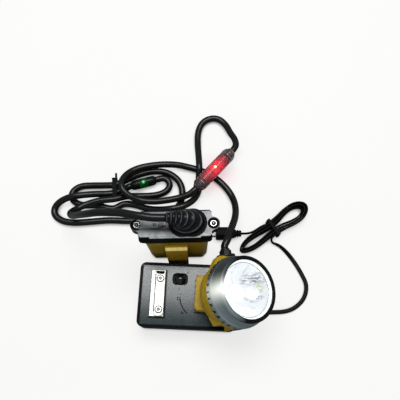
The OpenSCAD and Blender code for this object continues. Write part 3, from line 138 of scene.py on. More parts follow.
# ---- materials --------------------------------------------------------------------------
class Shader:
    """A small helper that wires one procedural material."""

    def __init__(self, name):
        self.material = bpy.data.materials.new(name)
        self.material.use_nodes = True
        self.tree = self.material.node_tree
        self.principled = self.tree.nodes["Principled BSDF"]
        self.coord = self.add("ShaderNodeTexCoord")

    def add(self, kind, **values):
        made = self.tree.nodes.new(kind)
        for key, value in values.items():
            setattr(made, key, value)
        return made

    def link(self, a, b):
        self.tree.links.new(a, b)

    def mapped(self, scale):
        made = self.add("ShaderNodeMapping")
        made.inputs["Scale"].default_value = scale
        self.link(self.coord.outputs["Object"], made.inputs["Vector"])
        return made.outputs["Vector"]

    def noise(self, scale, detail=3.0, rough=0.5, vector=None):
        made = self.add("ShaderNodeTexNoise")
        made.inputs["Scale"].default_value = scale
        made.inputs["Detail"].default_value = detail
        made.inputs["Roughness"].default_value = rough
        self.link(vector or self.coord.outputs["Object"], made.inputs["Vector"])
        return made.outputs["Fac"]

    def ramp(self, value, stops):
        made = self.add("ShaderNodeValToRGB")
        band = made.color_ramp
        while len(band.elements) < len(stops):
            band.elements.new(0.5)
        for element, (place, colour) in zip(band.elements, stops):
            element.position = place
            element.color = (*colour, 1.0)
        self.link(value, made.inputs["Fac"])
        return made.outputs["Color"]

    def span(self, value, low, high, start=0.3, end=0.7):
        made = self.add("ShaderNodeMapRange")
        made.inputs["From Min"].default_value = start
        made.inputs["From Max"].default_value = end
        made.inputs["To Min"].default_value = low
        made.inputs["To Max"].default_value = high
        self.link(value, made.inputs["Value"])
        return made.outputs["Result"]

    def math(self, kind, a, b=0.0, c=0.0):
        made = self.add("ShaderNodeMath", operation=kind)
        for i, value in enumerate((a, b, c)):
            if isinstance(value, (int, float)):
                made.inputs[i].default_value = value
            else:
                self.link(value, made.inputs[i])
        return made.outputs["Value"]

    def times(self, a, b):
        return self.math("MULTIPLY", a, b)

    def radius(self, x, y):
        """The distance of a point from a unit's third axis."""
        return self.math("SQRT", self.math("ADD", self.times(x, x), self.times(y, y)))

    def beyond(self, value, half):
        """How far a value lies past half a width on either side; below zero within it."""
        return self.math("SUBTRACT", self.math("ABSOLUTE", value), half)

    def inside(self, place):
        """Coordinates in a place's own frame, in millimetres, as a vector and three values."""
        made = self.add("ShaderNodeMapping", vector_type="TEXTURE")
        basis = Matrix((place.side, place.up, place.out)).transposed()
        made.inputs["Location"].default_value = tuple(place.origin)
        made.inputs["Rotation"].default_value = tuple(basis.to_euler("XYZ"))
        made.inputs["Scale"].default_value = (MM, MM, MM)
        self.link(self.coord.outputs["Object"], made.inputs["Vector"])
        parts = self.add("ShaderNodeSeparateXYZ")
        self.link(made.outputs["Vector"], parts.inputs["Vector"])
        return (made.outputs["Vector"], *[parts.outputs[axis] for axis in "XYZ"])

    def tilted(self, vector):
        """Stretches coordinates along a slant, for streaks."""
        made = self.add("ShaderNodeMapping")
        made.inputs["Rotation"].default_value = (0.0, 0.0, math.radians(-35.0))
        made.inputs["Scale"].default_value = (0.12, 0.7, 0.5)
        self.link(vector, made.inputs["Vector"])
        return made.outputs["Vector"]

    def mix(self, share, a, b):
        made = self.add("ShaderNodeMix", data_type="RGBA")
        self.link(share, made.inputs["Factor"])
        for value, socket in ((a, made.inputs["A"]), (b, made.inputs["B"])):
            if isinstance(value, tuple):
                socket.default_value = (*value, 1.0)
            else:
                self.link(value, socket)
        return made.outputs["Result"]

    def tint(self, share, colour):
        """Lays a colour over the base colour, by a share."""
        base = self.principled.inputs["Base Color"].links[0].from_socket
        self.link(self.mix(share, base, colour), self.principled.inputs["Base Color"])

    def bump(self, height, distance, strength=1.0, edge=0.0):
        made = self.add("ShaderNodeBump")
        made.inputs["Strength"].default_value = strength
        made.inputs["Distance"].default_value = distance
        self.link(height, made.inputs["Height"])
        if edge:
            soft = self.add("ShaderNodeBevel", samples=6)
            soft.inputs["Radius"].default_value = edge
            self.link(soft.outputs["Normal"], made.inputs["Normal"])
        self.link(made.outputs["Normal"], self.principled.inputs["Normal"])


def linear(r, g, b):
    """An sRGB colour, 0 to 255, in the renderer's linear values."""
    def one(c):
        c /= 255.0
        return c / 12.92 if c <= 0.04045 else ((c + 0.055) / 1.055) ** 2.4
    return (one(r), one(g), one(b))


def surface(name, dark, light, grain=900.0, rough=(0.35, 0.5), metal=0.0, relief=0.00002,
            relief_scale=1500.0, edge=0.0004, spec=0.5, stretch=None):
    """Two-tone grain in the colour, the same grain in the gloss, and a fine relief."""
    s = Shader(name)
    vector = s.mapped(stretch) if stretch else None
    fine = s.noise(grain, 4.0, 0.6, vector)
    s.link(s.ramp(fine, [(0.3, dark), (0.7, light)]), s.principled.inputs["Base Color"])
    s.link(s.span(fine, *rough), s.principled.inputs["Roughness"])
    s.bump(s.noise(relief_scale, 2.0, 0.5, vector), relief, 0.6, edge)
    s.principled.inputs["Metallic"].default_value = metal
    s.principled.inputs["Specular IOR Level"].default_value = spec
    return s


def glow(s, colour, strength):
    s.principled.inputs["Emission Color"].default_value = (*colour, 1.0)
    s.principled.inputs["Emission Strength"].default_value = strength
    return s


def clear(s, amount, ior=1.46):
    s.principled.inputs["Transmission Weight"].default_value = amount
    s.principled.inputs["IOR"].default_value = ior
    return s


def worn_black(name, low, high, rough, dust, spec):
    """Satin black plastic with a mottled, slightly dusty top."""
    s = surface(name, linear(*low), linear(*high), grain=700.0, rough=rough,
                relief=0.00005, relief_scale=1600.0, spec=spec)
    cloud = s.ramp(s.noise(120.0, 6.0, 0.65), [(0.35, (0.0, 0.0, 0.0)), (0.75, (1.0, 1.0, 1.0))])
    speck = s.ramp(s.noise(2600.0, 2.0, 0.5), [(0.55, (0.0, 0.0, 0.0)), (0.8, (1.0, 1.0, 1.0))])
    share = s.times(s.math("MULTIPLY_ADD", speck, 0.5, s.times(cloud, 0.5)), dust)
    s.tint(share, linear(150, 152, 150))
    return s


def dock_plastic(name):
    """Glossy black dock; inside its rim the plate is a duller, lighter, finely textured grey, with a
    painted shadow round the bracket.
    """
    s = surface(name, linear(6, 8, 9), linear(12, 15, 17), grain=700.0, rough=(0.2, 0.3),
                relief=0.00001, relief_scale=1500.0, spec=0.3)
    _, x, y, z = s.inside(DOCK)
    far_side = s.span(y, 0.0, 1.0, -25.0, -1.0)
    round_bracket = s.math("MAXIMUM", s.beyond(s.math("ADD", x, -BRACKET_SHADOW_AT[0]), BRACKET_SHADOW_HALF[0]),
                           s.beyond(s.math("SUBTRACT", y, BRACKET_SHADOW_AT[1]), BRACKET_SHADOW_HALF[1]))
    # Painted shadow: the plate's grey and gloss fade out round the bracket, offset to one side.
    painted_bracket_shadow = s.span(round_bracket, 1.0, 0.0, 0.7, 1.8)
    outside_painted_shadow = s.math("MULTIPLY_ADD", painted_bracket_shadow, -0.93, 1.0)
    past_rim = s.math("MAXIMUM", s.beyond(x, PLATE_HALF[0]), s.beyond(y, PLATE_HALF[1]))
    on_plate = s.times(s.span(past_rim, 1.0, 0.0, -0.4, 0.5), s.span(z, 0.0, 1.0, 26.6, 26.9))
    plate = s.times(on_plate, outside_painted_shadow)
    cloud = s.noise(110.0, 7.0, 0.68)
    speck = s.noise(1500.0, 3.0, 0.6)
    tone = s.ramp(s.math("MULTIPLY_ADD", speck, 0.55, s.times(cloud, 0.45)),
                  [(0.3, linear(14, 23, 26)), (0.7, linear(50, 66, 68))])
    s.tint(plate, tone)
    gloss_and_painted_sheen = s.times(plate, s.math("MULTIPLY_ADD", far_side, 0.64, 0.16))
    s.link(s.math("ADD", gloss_and_painted_sheen, 0.045), s.principled.inputs["Specular IOR Level"])
    return s


def lid_plastic(name):
    """The battery's lid: black sides, a mottled top with a painted sheen, pale towards its front and
    right and on its raised parts.
    """
    s = surface(name, linear(4, 5, 6), linear(9, 10, 12), rough=(0.3, 0.42), relief=0.00003, spec=0.1)
    _, x, y, z = s.inside(BATTERY)
    top = s.span(z, 0.0, 1.0, 89.2, 89.6)
    # Painted sheen: a pale tint on the top, set by position.
    gloss_and_painted_sheen = s.math("MAXIMUM", s.span(y, 1.0, 0.1, -10.5, -5.5), s.span(x, 0.0, 0.8, 20.0, 30.0))
    gloss_and_painted_sheen = s.math("MAXIMUM", gloss_and_painted_sheen, s.span(z, 0.0, 0.55, 90.6, 91.2))
    cloud = s.span(s.noise(160.0, 6.0, 0.65), 0.45, 1.25, 0.3, 0.7)
    s.tint(s.times(s.times(gloss_and_painted_sheen, cloud), top), linear(150, 154, 156))
    s.link(s.math("MULTIPLY_ADD", top, 0.5, 0.06), s.principled.inputs["Specular IOR Level"])
    return s


def clip_plastic(name):
    """The belt clip's yellow, with a painted highlight along its fold that also glows faintly."""
    s = surface(name, linear(166, 128, 14), linear(188, 150, 28), grain=350.0, rough=(0.3, 0.4),
                relief=0.00003, spec=0.2)
    z = s.inside(BATTERY)[3]
    low, high = CLIP_FOLD
    fold = s.times(s.span(z, 0.0, 1.0, low, low + 1.2), s.span(z, 1.0, 0.0, high, high + 1.0))
    # Painted highlight: a pale tint and a faint glow along the fold.
    painted_highlight = s.times(fold, s.span(s.noise(300.0, 4.0, 0.6), 0.55, 1.0, 0.3, 0.6))
    s.tint(painted_highlight, linear(255, 236, 150))
    s.principled.inputs["Emission Color"].default_value = (1.0, 0.8, 0.28, 1.0)
    s.link(s.times(painted_highlight, 0.3), s.principled.inputs["Emission Strength"])
    return s


def ribbed_rubber(name):
    """The boot's black rubber, with a painted grey highlight along the crest of each rib."""
    s = surface(name, linear(3, 4, 5), linear(8, 9, 11), rough=(0.26, 0.36), relief=0.00002, spec=0.22)
    _, x, _, z = s.inside(BATTERY)
    turn = s.math("ARCTAN2", s.math("SUBTRACT", z, BOOT_Z), s.math("SUBTRACT", x, BOOT_X - BOOT_BEND))
    share = s.math("MAXIMUM", s.times(turn, 2.0 / math.pi), 0.0)
    phase = s.math("FRACT", s.times(s.math("POWER", share, BOOT_SPREAD), BOOT_RIBS))
    off_crest = s.math("ABSOLUTE", s.math("SUBTRACT", phase, 0.42))
    crest = s.times(s.span(off_crest, 1.0, 0.0, 0.02, 0.1), s.span(share, 0.0, 1.0, 0.01, 0.03))
    # Painted highlight: a grey tint along each rib's crest.
    painted_highlight = s.times(crest, s.span(s.noise(150.0, 4.0, 0.6), 0.1, 1.0, 0.35, 0.6))
    s.tint(painted_highlight, linear(96, 101, 104))
    return s


def tube_glow(name, place, half, spot_at, spot_r, colour, strength, hot, hot_strength):
    """Light inside a clear sleeve: mottled, fading to its ends, with one small hot spot."""
    s = surface(name, tuple(0.25 * c for c in colour), tuple(0.5 * c for c in colour),
                rough=(0.3, 0.4), relief=0.00001, edge=0.0)
    parts = [s.math("SUBTRACT", v, at) for v, at in zip(s.inside(place)[1:], spot_at)]
    square = [s.times(v, v) for v in parts]
    away = s.math("SQRT", s.math("ADD", s.math("ADD", square[0], square[1]), square[2]))
    near = s.math("POWER", s.span(away, 1.0, 0.05, 0.0, half), 1.4)
    spot = s.span(away, 1.0, 0.0, spot_r * 0.5, spot_r)
    grain = s.span(s.noise(330.0, 5.0, 0.8), 0.03, 1.9, 0.38, 0.62)
    s.link(s.mix(spot, colour, hot), s.principled.inputs["Emission Color"])
    power = s.math("ADD", s.times(s.times(near, grain), strength), s.times(spot, hot_strength))
    s.link(power, s.principled.inputs["Emission Strength"])
    return s


def spilled(name):
    """The bezel's slate plastic, with the lamp's spill painted on as a glow over its low side, a
    painted sheen lighter towards its front, and painted shade in its notches, at its rear edge and on
    part of its front rim.
    """
    s = surface(name, linear(40, 50, 54), linear(58, 70, 74), rough=(0.28, 0.38), relief=0.00004,
                relief_scale=1800.0, spec=0.8)
    _, x, y, z = s.inside(HEAD)
    # Painted shade: black on the notches' floors, along the rear edge and on one side of the front
    # rim.
    notch = s.times(s.span(s.radius(x, y), 1.0, 0.0, 32.9, 33.2), s.span(z, 1.0, 0.0, -15.6, -15.2))
    rim = s.times(s.span(z, 0.0, 1.0, -2.9, -2.3), s.span(x, 0.0, 1.0, -24.0, -8.0))
    rear = s.span(z, 1.0, 0.0, -19.1, -18.7)
    painted_shade = s.math("MAXIMUM", s.math("MAXIMUM", rim, notch), rear)
    # Painted sheen: the slate is lighter towards the front.
    s.tint(s.span(y, 0.85, 0.0, -26.0, 8.0), linear(128, 144, 146))
    s.tint(painted_shade, linear(7, 8, 9))
    s.link(s.math("MULTIPLY_ADD", painted_shade, -0.65, 0.8), s.principled.inputs["Specular IOR Level"])
    # Painted glow: the lamp's spill over the bezel.
    across = s.math("SUBTRACT", x, SPILL_AT[0])
    along = s.times(s.math("SUBTRACT", y, SPILL_AT[1]), 0.8)
    soft = s.math("POWER", s.span(s.radius(across, along), 1.0, 0.0, 0.0, 16.0), 3.2)
    s.principled.inputs["Emission Color"].default_value = (0.97, 1.0, 0.9, 1.0)
    power = s.times(s.times(soft, 1.9), s.math("MULTIPLY_ADD", painted_shade, -0.85, 1.0))
    s.link(power, s.principled.inputs["Emission Strength"])
    return s


def lit_bowl(name):
    """A polished bowl shown as a painted glow: a painted white reflection, with grey streaks running
    out from the lamp.
    """
    s = surface(name, linear(120, 124, 128), linear(150, 153, 156), metal=1.0, rough=(0.16, 0.26),
                relief=0.000004, edge=0.0)
    vector, x, y, _ = s.inside(HEAD)
    turn = s.math("ARCTAN2", y, x)
    far = s.radius(x, y)
    both = s.add("ShaderNodeCombineXYZ")
    s.link(s.times(turn, 2.4), both.inputs["X"])
    s.link(s.times(far, 0.045), both.inputs["Y"])
    streak = s.noise(1.6, 5.0, 0.62, both.outputs["Vector"])
    tone = s.ramp(streak, [(0.3, (0.5, 0.53, 0.55)), (0.42, (0.9, 0.92, 0.93)),
                           (0.55, (1.0, 1.0, 1.0))])
    for px, py, wide, tall, colour, grain in BOWL_PATCHES:
        dx = s.times(s.math("SUBTRACT", x, px), 1.0 / wide)
        dy = s.times(s.math("SUBTRACT", y, py), 1.0 / tall)
        near = s.span(s.math("ADD", s.times(dx, dx), s.times(dy, dy)), 1.0, 0.0, 0.1, 1.0)
        lines = s.span(s.noise(grain, 2.0, 0.5, s.tilted(vector)), 0.0, 1.0, 0.42, 0.58)
        tone = s.mix(s.times(near, lines), tone, colour)
    # Painted reflection: the tone is the bowl's glow.
    s.link(tone, s.principled.inputs["Emission Color"])
    s.link(s.span(far, 1.02, 0.84, 6.0, 25.0), s.principled.inputs["Emission Strength"])
    return s


LOOKS = {
    "yellow_case": surface("yellow_plastic", linear(166, 134, 22), linear(190, 158, 38),
                           grain=350.0, rough=(0.32, 0.44), relief=0.00003, spec=0.2),
    "black_plastic": worn_black("black_plastic", (8, 9, 10), (16, 18, 20), (0.26, 0.38), 0.08, 0.5),
    "lid_plastic": lid_plastic("lid_plastic"),
    "clip_plastic": clip_plastic("clip_plastic"),
    "rubber": surface("rubber", linear(8, 9, 10), linear(16, 17, 19), rough=(0.4, 0.55),
                      relief=0.00003, spec=0.3),
    "cable_jacket": surface("cable_jacket", linear(5, 6, 7), linear(11, 13, 14),
                            rough=(0.24, 0.3), relief=0.00001, edge=0.0, spec=0.3),
    "steel": surface("steel", linear(190, 190, 186), linear(236, 236, 232), metal=1.0,
                     rough=(0.16, 0.3), relief=0.000006, edge=0.0002,
                     stretch=(1.0, 0.12, 1.0)),
    "glossy_black": surface("glossy_black", linear(8, 8, 9), linear(16, 16, 18),
                            rough=(0.05, 0.1), relief=0.000002),
    "brass": surface("brass", linear(170, 132, 62), linear(206, 166, 88), metal=1.0,
                     rough=(0.22, 0.35), relief=0.000006, edge=0.0002),
    "cell_sleeve": surface("cell_sleeve", linear(32, 84, 140), linear(46, 106, 168)),
    "green_board": surface("green_board", linear(18, 78, 42), linear(30, 104, 58)),
    "transformer": surface("transformer", linear(86, 60, 36), linear(116, 82, 48)),
    "clear_lens": clear(surface("clear_lens", linear(238, 243, 246), linear(252, 253, 254),
                                rough=(0.02, 0.05), relief=0.0000005, edge=0.0), 1.0),
    "pale_ring": surface("pale_ring", linear(206, 208, 204), linear(228, 230, 226)),
    "bright_reflector": lit_bowl("bright_reflector"),
    "led": glow(surface("led", linear(250, 238, 180), linear(255, 246, 200)),
                (1.0, 0.97, 0.88), 12.0),
    "white_board": surface("white_board", linear(214, 216, 218), linear(236, 238, 240)),
    "aluminium": surface("aluminium", linear(150, 153, 156), linear(184, 187, 190), metal=1.0,
                         rough=(0.35, 0.5)),
    "red_tube": clear(surface("red_tube", linear(226, 200, 204), linear(246, 224, 226),
                              rough=(0.1, 0.2), relief=0.00001, relief_scale=500.0, edge=0.0,
                              spec=0.35), 0.95, 1.2),
    "grey_plug": surface("grey_plug", linear(96, 98, 102), linear(132, 134, 138),
                         rough=(0.1, 0.2), relief=0.000004),
    "red_board": surface("red_board", linear(150, 12, 20), linear(190, 30, 36)),
    "smoky_tube": clear(surface("smoky_tube", linear(44, 66, 52), linear(66, 92, 76),
                                rough=(0.16, 0.26), relief=0.00001, relief_scale=500.0, edge=0.0,
                                spec=0.2), 0.95, 1.2),
    "bezel": spilled("bezel_plastic"),
    "boot_rubber": ribbed_rubber("boot_rubber"),
    "lead_jacket": surface("lead_jacket", linear(3, 4, 4), linear(8, 9, 9), rough=(0.45, 0.55),
                           relief=0.00001, edge=0.0, spec=0.12),
    "bracket_steel": surface("bracket_steel", linear(206, 207, 200), linear(244, 244, 238), metal=1.0,
                             rough=(0.42, 0.6), grain=420.0, relief=0.00002, edge=0.0002),
    "dull_metal": surface("dull_metal", linear(52, 50, 46), linear(84, 80, 74), metal=1.0,
                          rough=(0.3, 0.45), relief=0.000006, edge=0.0002),
    # The ring round the lens glows: painted light from the lamp.
    "lens_ring": glow(surface("lens_ring", linear(190, 198, 190), linear(214, 220, 212)),
                      (0.92, 0.97, 0.94), 1.15),
    "red_glow": tube_glow("red_glow", BEACON, 17.0, (0.0, 4.6, 1.0), 2.0, (0.86, 0.006, 0.035), 1.5,
                          (1.0, 0.72, 0.2), 3.0),
    "green_glow": tube_glow("green_glow", PILOT, 8.0, (0.0, 3.2, 0.0), 2.2, (0.012, 0.2, 0.04), 1.6,
                            (0.25, 0.75, 0.4), 2.2),
    "dark_plug": surface("dark_plug", linear(26, 26, 30), linear(62, 62, 66), rough=(0.2, 0.35),
                         relief=0.00004),
    "dock_plastic": dock_plastic("dock_plastic"),
    "strap": surface("strap", linear(4, 4, 5), linear(9, 9, 10), rough=(0.6, 0.75),
                     relief=0.00003, spec=0.12),
    "dark_groove": surface("dark_groove", linear(2, 3, 3), linear(6, 7, 7), rough=(0.5, 0.7),
                           spec=0.03),
}
LOOK_OF_NODE = {"dock_top": "dock_plastic", "dock_base": "dock_plastic", "cable_tie": "strap",
                "lead_tie": "strap", "boot_gland": "strap", "head_gland": "rubber",
                "head_gland_nut": "rubber", "lead_plug": "strap", "lead_grommet": "strap",
                # The gasket glows as the lens ring does: painted light.
                "lens_gasket": "lens_ring",
                "battery_lid": "lid_plastic", "battery_collar": "lid_plastic",
                "belt_clip": "clip_plastic", "plug_blades": "dull_metal",
                "dock_bracket": "bracket_steel", "bracket_screws": "bracket_steel"}
slot_of = {row["node"]: row["material_slot"] for row in frame["record"]["subparts"]}


def paint(thing, shader):
    """Gives a piece its material, whatever the loader put there."""
    material = shader.material
    if thing.type == "MESH" and thing.data.materials:
        for i in range(len(thing.data.materials)):
            thing.data.materials[i] = material
    else:
        thing.data.materials.append(material)


for name, thing in nodes.items():
    paint(thing, LOOKS[LOOK_OF_NODE.get(name, slot_of[name])])


# ---- making meshes ----------------------------------------------------------------------
def volume(points, faces):
    """Six times the volume a closed mesh holds; below zero where its faces look inwards."""
    total = 0.0
    for face in faces:
        a = points[face[0]]
        for i in range(1, len(face) - 1):
            total += a.dot(points[face[i]].cross(points[face[i + 1]]))
    return total


def piece(name, points, faces, look, smooth=True):
    """A mesh that rides on the set, its faces turned to look outwards."""
    if volume(points, faces) < 0.0:
        faces = [face[::-1] for face in faces]
    mesh = bpy.data.meshes.new(name)
    mesh.from_pydata([tuple(p) for p in points], [], faces)
    mesh.validate()
    made = bpy.data.objects.new(name, mesh)
    HERE.collection.objects.link(made)
    for polygon in mesh.polygons:
        polygon.use_smooth = smooth
    mesh.materials.append(LOOKS[look].material)
    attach(made, "set")
    return made


def smooth_line(points, step):
    """A curve through the points, as points about one step apart."""
    out = [q for i in range(len(points) - 1) for q in smooth_span(points, i, step)]
    return out + [points[-1].copy()]


def smooth_span(points, i, step):
    """The points of smooth_line that lie on its span i, without the span's end."""
    low, high = max(i - 1, 0), min(i + 2, len(points) - 1)
    p1, p2 = points[i], points[i + 1]
    t1 = (p2 - points[low]) * 0.5 if i > 0 else p2 - p1
    t2 = (points[high] - p1) * 0.5 if high > i + 1 else p2 - p1
    span = (p2 - p1).length
    m1, m2 = t1.normalized() * span, t2.normalized() * span
    count = max(2, int(round(span / step)))
    out = []
    for k in range(count):
        t = k / count
        out.append(p1 * (2 * t ** 3 - 3 * t ** 2 + 1) + m1 * (t ** 3 - 2 * t ** 2 + t)
                   + p2 * (3 * t ** 2 - 2 * t ** 3) + m2 * (t ** 3 - t ** 2))
    return out


def directions(points):
    out = []
    for i in range(len(points)):
        a = points[max(i - 1, 0)]
        b = points[min(i + 1, len(points) - 1)]
        out.append((b - a).normalized())
    return out


def ring_faces(count, around, closed=False):
    """Faces between rings of points, with a cap at each end or, closed, round to the first ring."""
    faces = []
    for i in range(count if closed else count - 1):
        low, high = i * around, (i + 1) % count * around
        for k in range(around):
            m = (k + 1) % around
            faces.append((low + k, low + m, high + m, high + k))
    if not closed:
        faces.append(tuple(range(around - 1, -1, -1)))
        faces.append(tuple((count - 1) * around + k for k in range(around)))
    return faces


def tube(name, points, radius, look, first, around=20):
    """A round tube along points; first is a direction across its start."""
    side = Vector(first)
    flat = []
    for p, t in zip(points, directions(points)):
        side = (side - t * side.dot(t)).normalized()
        up = side.cross(t)
        for k in range(around):
            u = 2 * math.pi * k / around
            flat.append(p + side * (radius * math.cos(u)) + up * (radius * math.sin(u)))
    return piece(name, flat, ring_faces(len(points), around), look)


# ---- cords ------------------------------------------------------------------------------
# The routes repeat part.scad's points, in its millimetres; put() makes them metres.
CABLE_R = 3.6 * MM
ROUTE_A = [
    (-45, 37, 107.9), (-58, 39.2, 106.6), (-71, 42.4, 103.2),
    (-84, 45, 96.5), (-97, 47.8, 86.8), (-110, 50.4, 73.6), (-121.5, 54, 58),
    (-130, 57.5, 43.5), (-136, 62, 31), (-138.5, 67.5, 21), (-134.5, 73.5, 14),
    (-126, 78.5, 12.5), (-112, 83, 12.5), (-96, 85.2, 12), (-82, 89.5, 8.5),
    (-70, 91, 4.5), (-59, 91.5, 4), (-48.5, 93, 4), (-40, 97, 4.5),
    (-36.5, 103, 5.5), (-38.8, 108.8, 6.4), (-44, 111, 6.6),
]
ROUTE_B = [
    (-87, 98.4, 6), (-96, 94.5, 5.4), (-105, 93, 6.5), (-118, 91.5, 10),
    (-131, 89.5, 12.4), (-143, 87.5, 12.2), (-153, 84.5, 8.5), (-160, 79.5, 4.8),
    (-161.5, 73, 4), (-158, 67, 4), (-150, 62.5, 4), (-138, 61, 4), (-122, 62, 4),
    (-102, 63.5, 4), (-82, 63, 4), (-62, 63, 4), (-45, 66, 4), (-33, 72.5, 4),
    (-25.5, 81.5, 4), (-22.5, 92.5, 4), (-24, 103.5, 4), (-30, 112.5, 4),
    (-42, 119.3, 4), (-57, 120, 4), (-72, 116, 4), (-85.5, 109.5, 4.4),
    (-97, 104, 5.4), (-110, 103.5, 4.6), (-123, 103.5, 4), (-134, 102.5, 4),
    (-141.5, 98, 4), (-144, 91.5, 4), (-140.5, 85, 4), (-132, 81, 4), (-116, 80.5, 4),
    (-98, 76.8, 4), (-86, 82, 4), (-74, 81, 4), (-60, 76.5, 5), (-47, 74.5, 8),
    (-33.5, 74.3, 12), (-21, 77.5, 11.6), (-10.5, 85.5, 8), (-5, 96.5, 5),
    (-4.5, 108, 6.5), (-3.8, 121, 12.4), (-4.5, 136, 9.5), (-5.5, 153, 5), (-5, 168, 4),
    (-0.5, 179.5, 4), (8.5, 185.5, 4), (18.5, 185, 4), (26.5, 177.5, 4.5),
    (31.5, 166.5, 7), (36, 156.6, 10.6), (37, 148, 13.4),
]
ROUTE_C = [
    (-14.6, 89.2, 16.4), (-25.5, 85.8, 14.4), (-39.5, 83.2, 13.6),
    (-53.5, 82, 13.4), (-66.5, 83, 14.4), (-77.5, 86.5, 17.8), (-84.5, 92, 19.8),
    (-87.5, 99.5, 19.6), (-85.5, 108.5, 16.6), (-79, 116.5, 13), (-68.5, 122, 11),
    (-55, 125, 10.4), (-41.5, 126.5, 9.4), (-28, 126.8, 7), (-15.5, 125, 4.6),
    (-3, 121.5, 4), (8.5, 116, 4), (18.5, 108.5, 4), (27.5, 98.5, 4), (33.5, 86.5, 6),
    (35, 73, 14), (33.2, 60, 25.4), (29.4, 48, 37), (26, 38.4, 45.6), (23.6, 31, 49.6),
]

BOOT_EXIT = BATTERY.at(-7.1, BOOT_Y, BOOT_Z + BOOT_BEND)
GLAND_EXIT = HEAD.at(0.0, 43.4, -28.7)
BEACON_WAY = (BEACON_TO - BEACON_FROM).normalized()
PILOT_WAY = (PILOT_TO - PILOT_FROM).normalized()


def cable(name, start, route, end, node, first=(0, 0, 1)):
    """A stretch of the round cable, in place of the CAD node it stands for."""
    line = smooth_line(start + [put(*p) for p in route] + end, 2.0 * MM)
    made = tube(name, line, CABLE_R, "cable_jacket", first)
    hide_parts(node)


def lathe(name, place, profile, look, around=96, ripple=None, closed=True):
    """Turns (radius, height) points round a place's third axis; ripple adds to a radius."""
    flat = []
    for j, (r, z) in enumerate(profile):
        for k in range(around):
            t = 2 * math.pi * k / around
            rippled = r + (ripple(t, j) if ripple else 0.0)
            flat.append(place.at(rippled * math.cos(t), rippled * math.sin(t), z))
    return piece(name, flat, ring_faces(len(profile), around, closed), look)


def block(name, place, low, high, look, soft):
    """A box in a place's frame between two corners, its top drawn in by soft."""
    mid = [(a + b) / 2 for a, b in zip(low, high)]
    half = [(b - a) / 2 for a, b in zip(low, high)]
    points = []
    for dz, inset in ((-1, 0.0), (1, soft)):
        for dx, dy in ((-1, -1), (1, -1), (1, 1), (-1, 1)):
            points.append(place.at(mid[0] + dx * (half[0] - inset), mid[1] + dy * (half[1] - inset),
                                   mid[2] + dz * half[2]))
    faces = [(3, 2, 1, 0), (4, 5, 6, 7), (0, 1, 5, 4), (1, 2, 6, 5), (2, 3, 7, 6), (3, 0, 4, 7)]
    return piece(name, points, faces, look, False)


# How deep a drawn line goes below its top, in millimetres.
STROKE_DEPTH = 0.06


def stroke(name, place, points, z, wide, look):
    """A thin line drawn on a flat top, through points of a place's frame."""
    line = [place.at(x, y, z) for x, y in points]
    along = directions(line)
    flat, faces = [], []
    for q, t in zip(line, along):
        across = place.out.cross(t) * (wide / 2 * MM)
        under = place.out * STROKE_DEPTH * MM
        flat += [q - across, q + across, q + across - under, q - across - under]
    for i in range(len(line) - 1):
        a = 4 * i
        faces += [(a, a + 4, a + 5, a + 1), (a + 1, a + 5, a + 6, a + 2),
                  (a + 2, a + 6, a + 7, a + 3), (a + 3, a + 7, a + 4, a)]
    end = 4 * len(line)
    faces += [(0, 1, 2, 3), (end - 1, end - 2, end - 3, end - 4)]
    return piece(name, flat, faces, look, False)


# ---- red and green in-line lamps --------------------------------------------------------
def inline_lamp(name, place, solids, r_tube, half_tube, half_all, glow_look, clear_look):
    """A clear capsule with rounded shoulders, a lit core, and a dark plug with ribs at each end."""
    r_end = 4.1
    side = [(r_end - 0.7, half_all), (r_end + 0.2, half_all - 0.4), (r_end + 0.9, half_all - 1.6)]
    for i in range(1, 7):
        t = math.pi / 2 * i / 6
        side.append((r_end + 0.9 + (r_tube - r_end - 0.9) * math.sin(t),
                     half_tube - 1.0 + (half_all - 1.6 - half_tube) * math.cos(t)))
    made = lathe(name + "_shell", place, [(r, -z) for r, z in side] + side[::-1], clear_look, 40,
                 closed=False)
    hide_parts(*solids)
    core = r_tube * 0.7
    lathe(name + "_lamp", place, [
        (0.4, -half_tube + 4), (core * 0.9, -half_tube + 4.6), (core, -half_tube + 6),
        (core, half_tube - 6), (core * 0.9, half_tube - 4.6), (0.4, half_tube - 4),
    ], glow_look, 32, closed=False)
    for way, tag in ((-1, "low"), (1, "high")):
        plug = [(0.4, half_tube - 3.2), (core * 0.7, half_tube - 3.2), (core * 0.9, half_tube - 2.2),
                (core * 0.9, half_tube - 1.2), (core * 0.66, half_tube - 0.9),
                (core * 0.66, half_tube + 0.2), (r_end - 0.1, half_tube + 0.6),
                (r_end - 0.1, half_all - 3.0), (r_end - 0.9, half_all - 2.4), (0.4, half_all - 2.4)]
        lathe(f"{name}_plug_{tag}", place, [(r, way * z) for r, z in plug], "dark_plug", 32,
              closed=False)
        band = half_tube - 1.7
        lathe(f"{name}_band_{tag}", place, [
            (core * 0.86, way * (band - 0.5)), (core * 0.98, way * (band - 0.4)),
            (core * 0.98, way * (band + 0.1)), (core * 0.86, way * (band + 0.2))], "steel", 32)


inline_lamp("beacon", BEACON, ["beacon_tube", "beacon_ends"], r_tube=7.58, half_tube=23.0,
            half_all=30.1, glow_look="red_glow", clear_look="red_tube")
inline_lamp("pilot", PILOT, ["pilot_tube", "pilot_ends"], r_tube=5.38, half_tube=9.3,
            half_all=13.7, glow_look="green_glow", clear_look="smoky_tube")

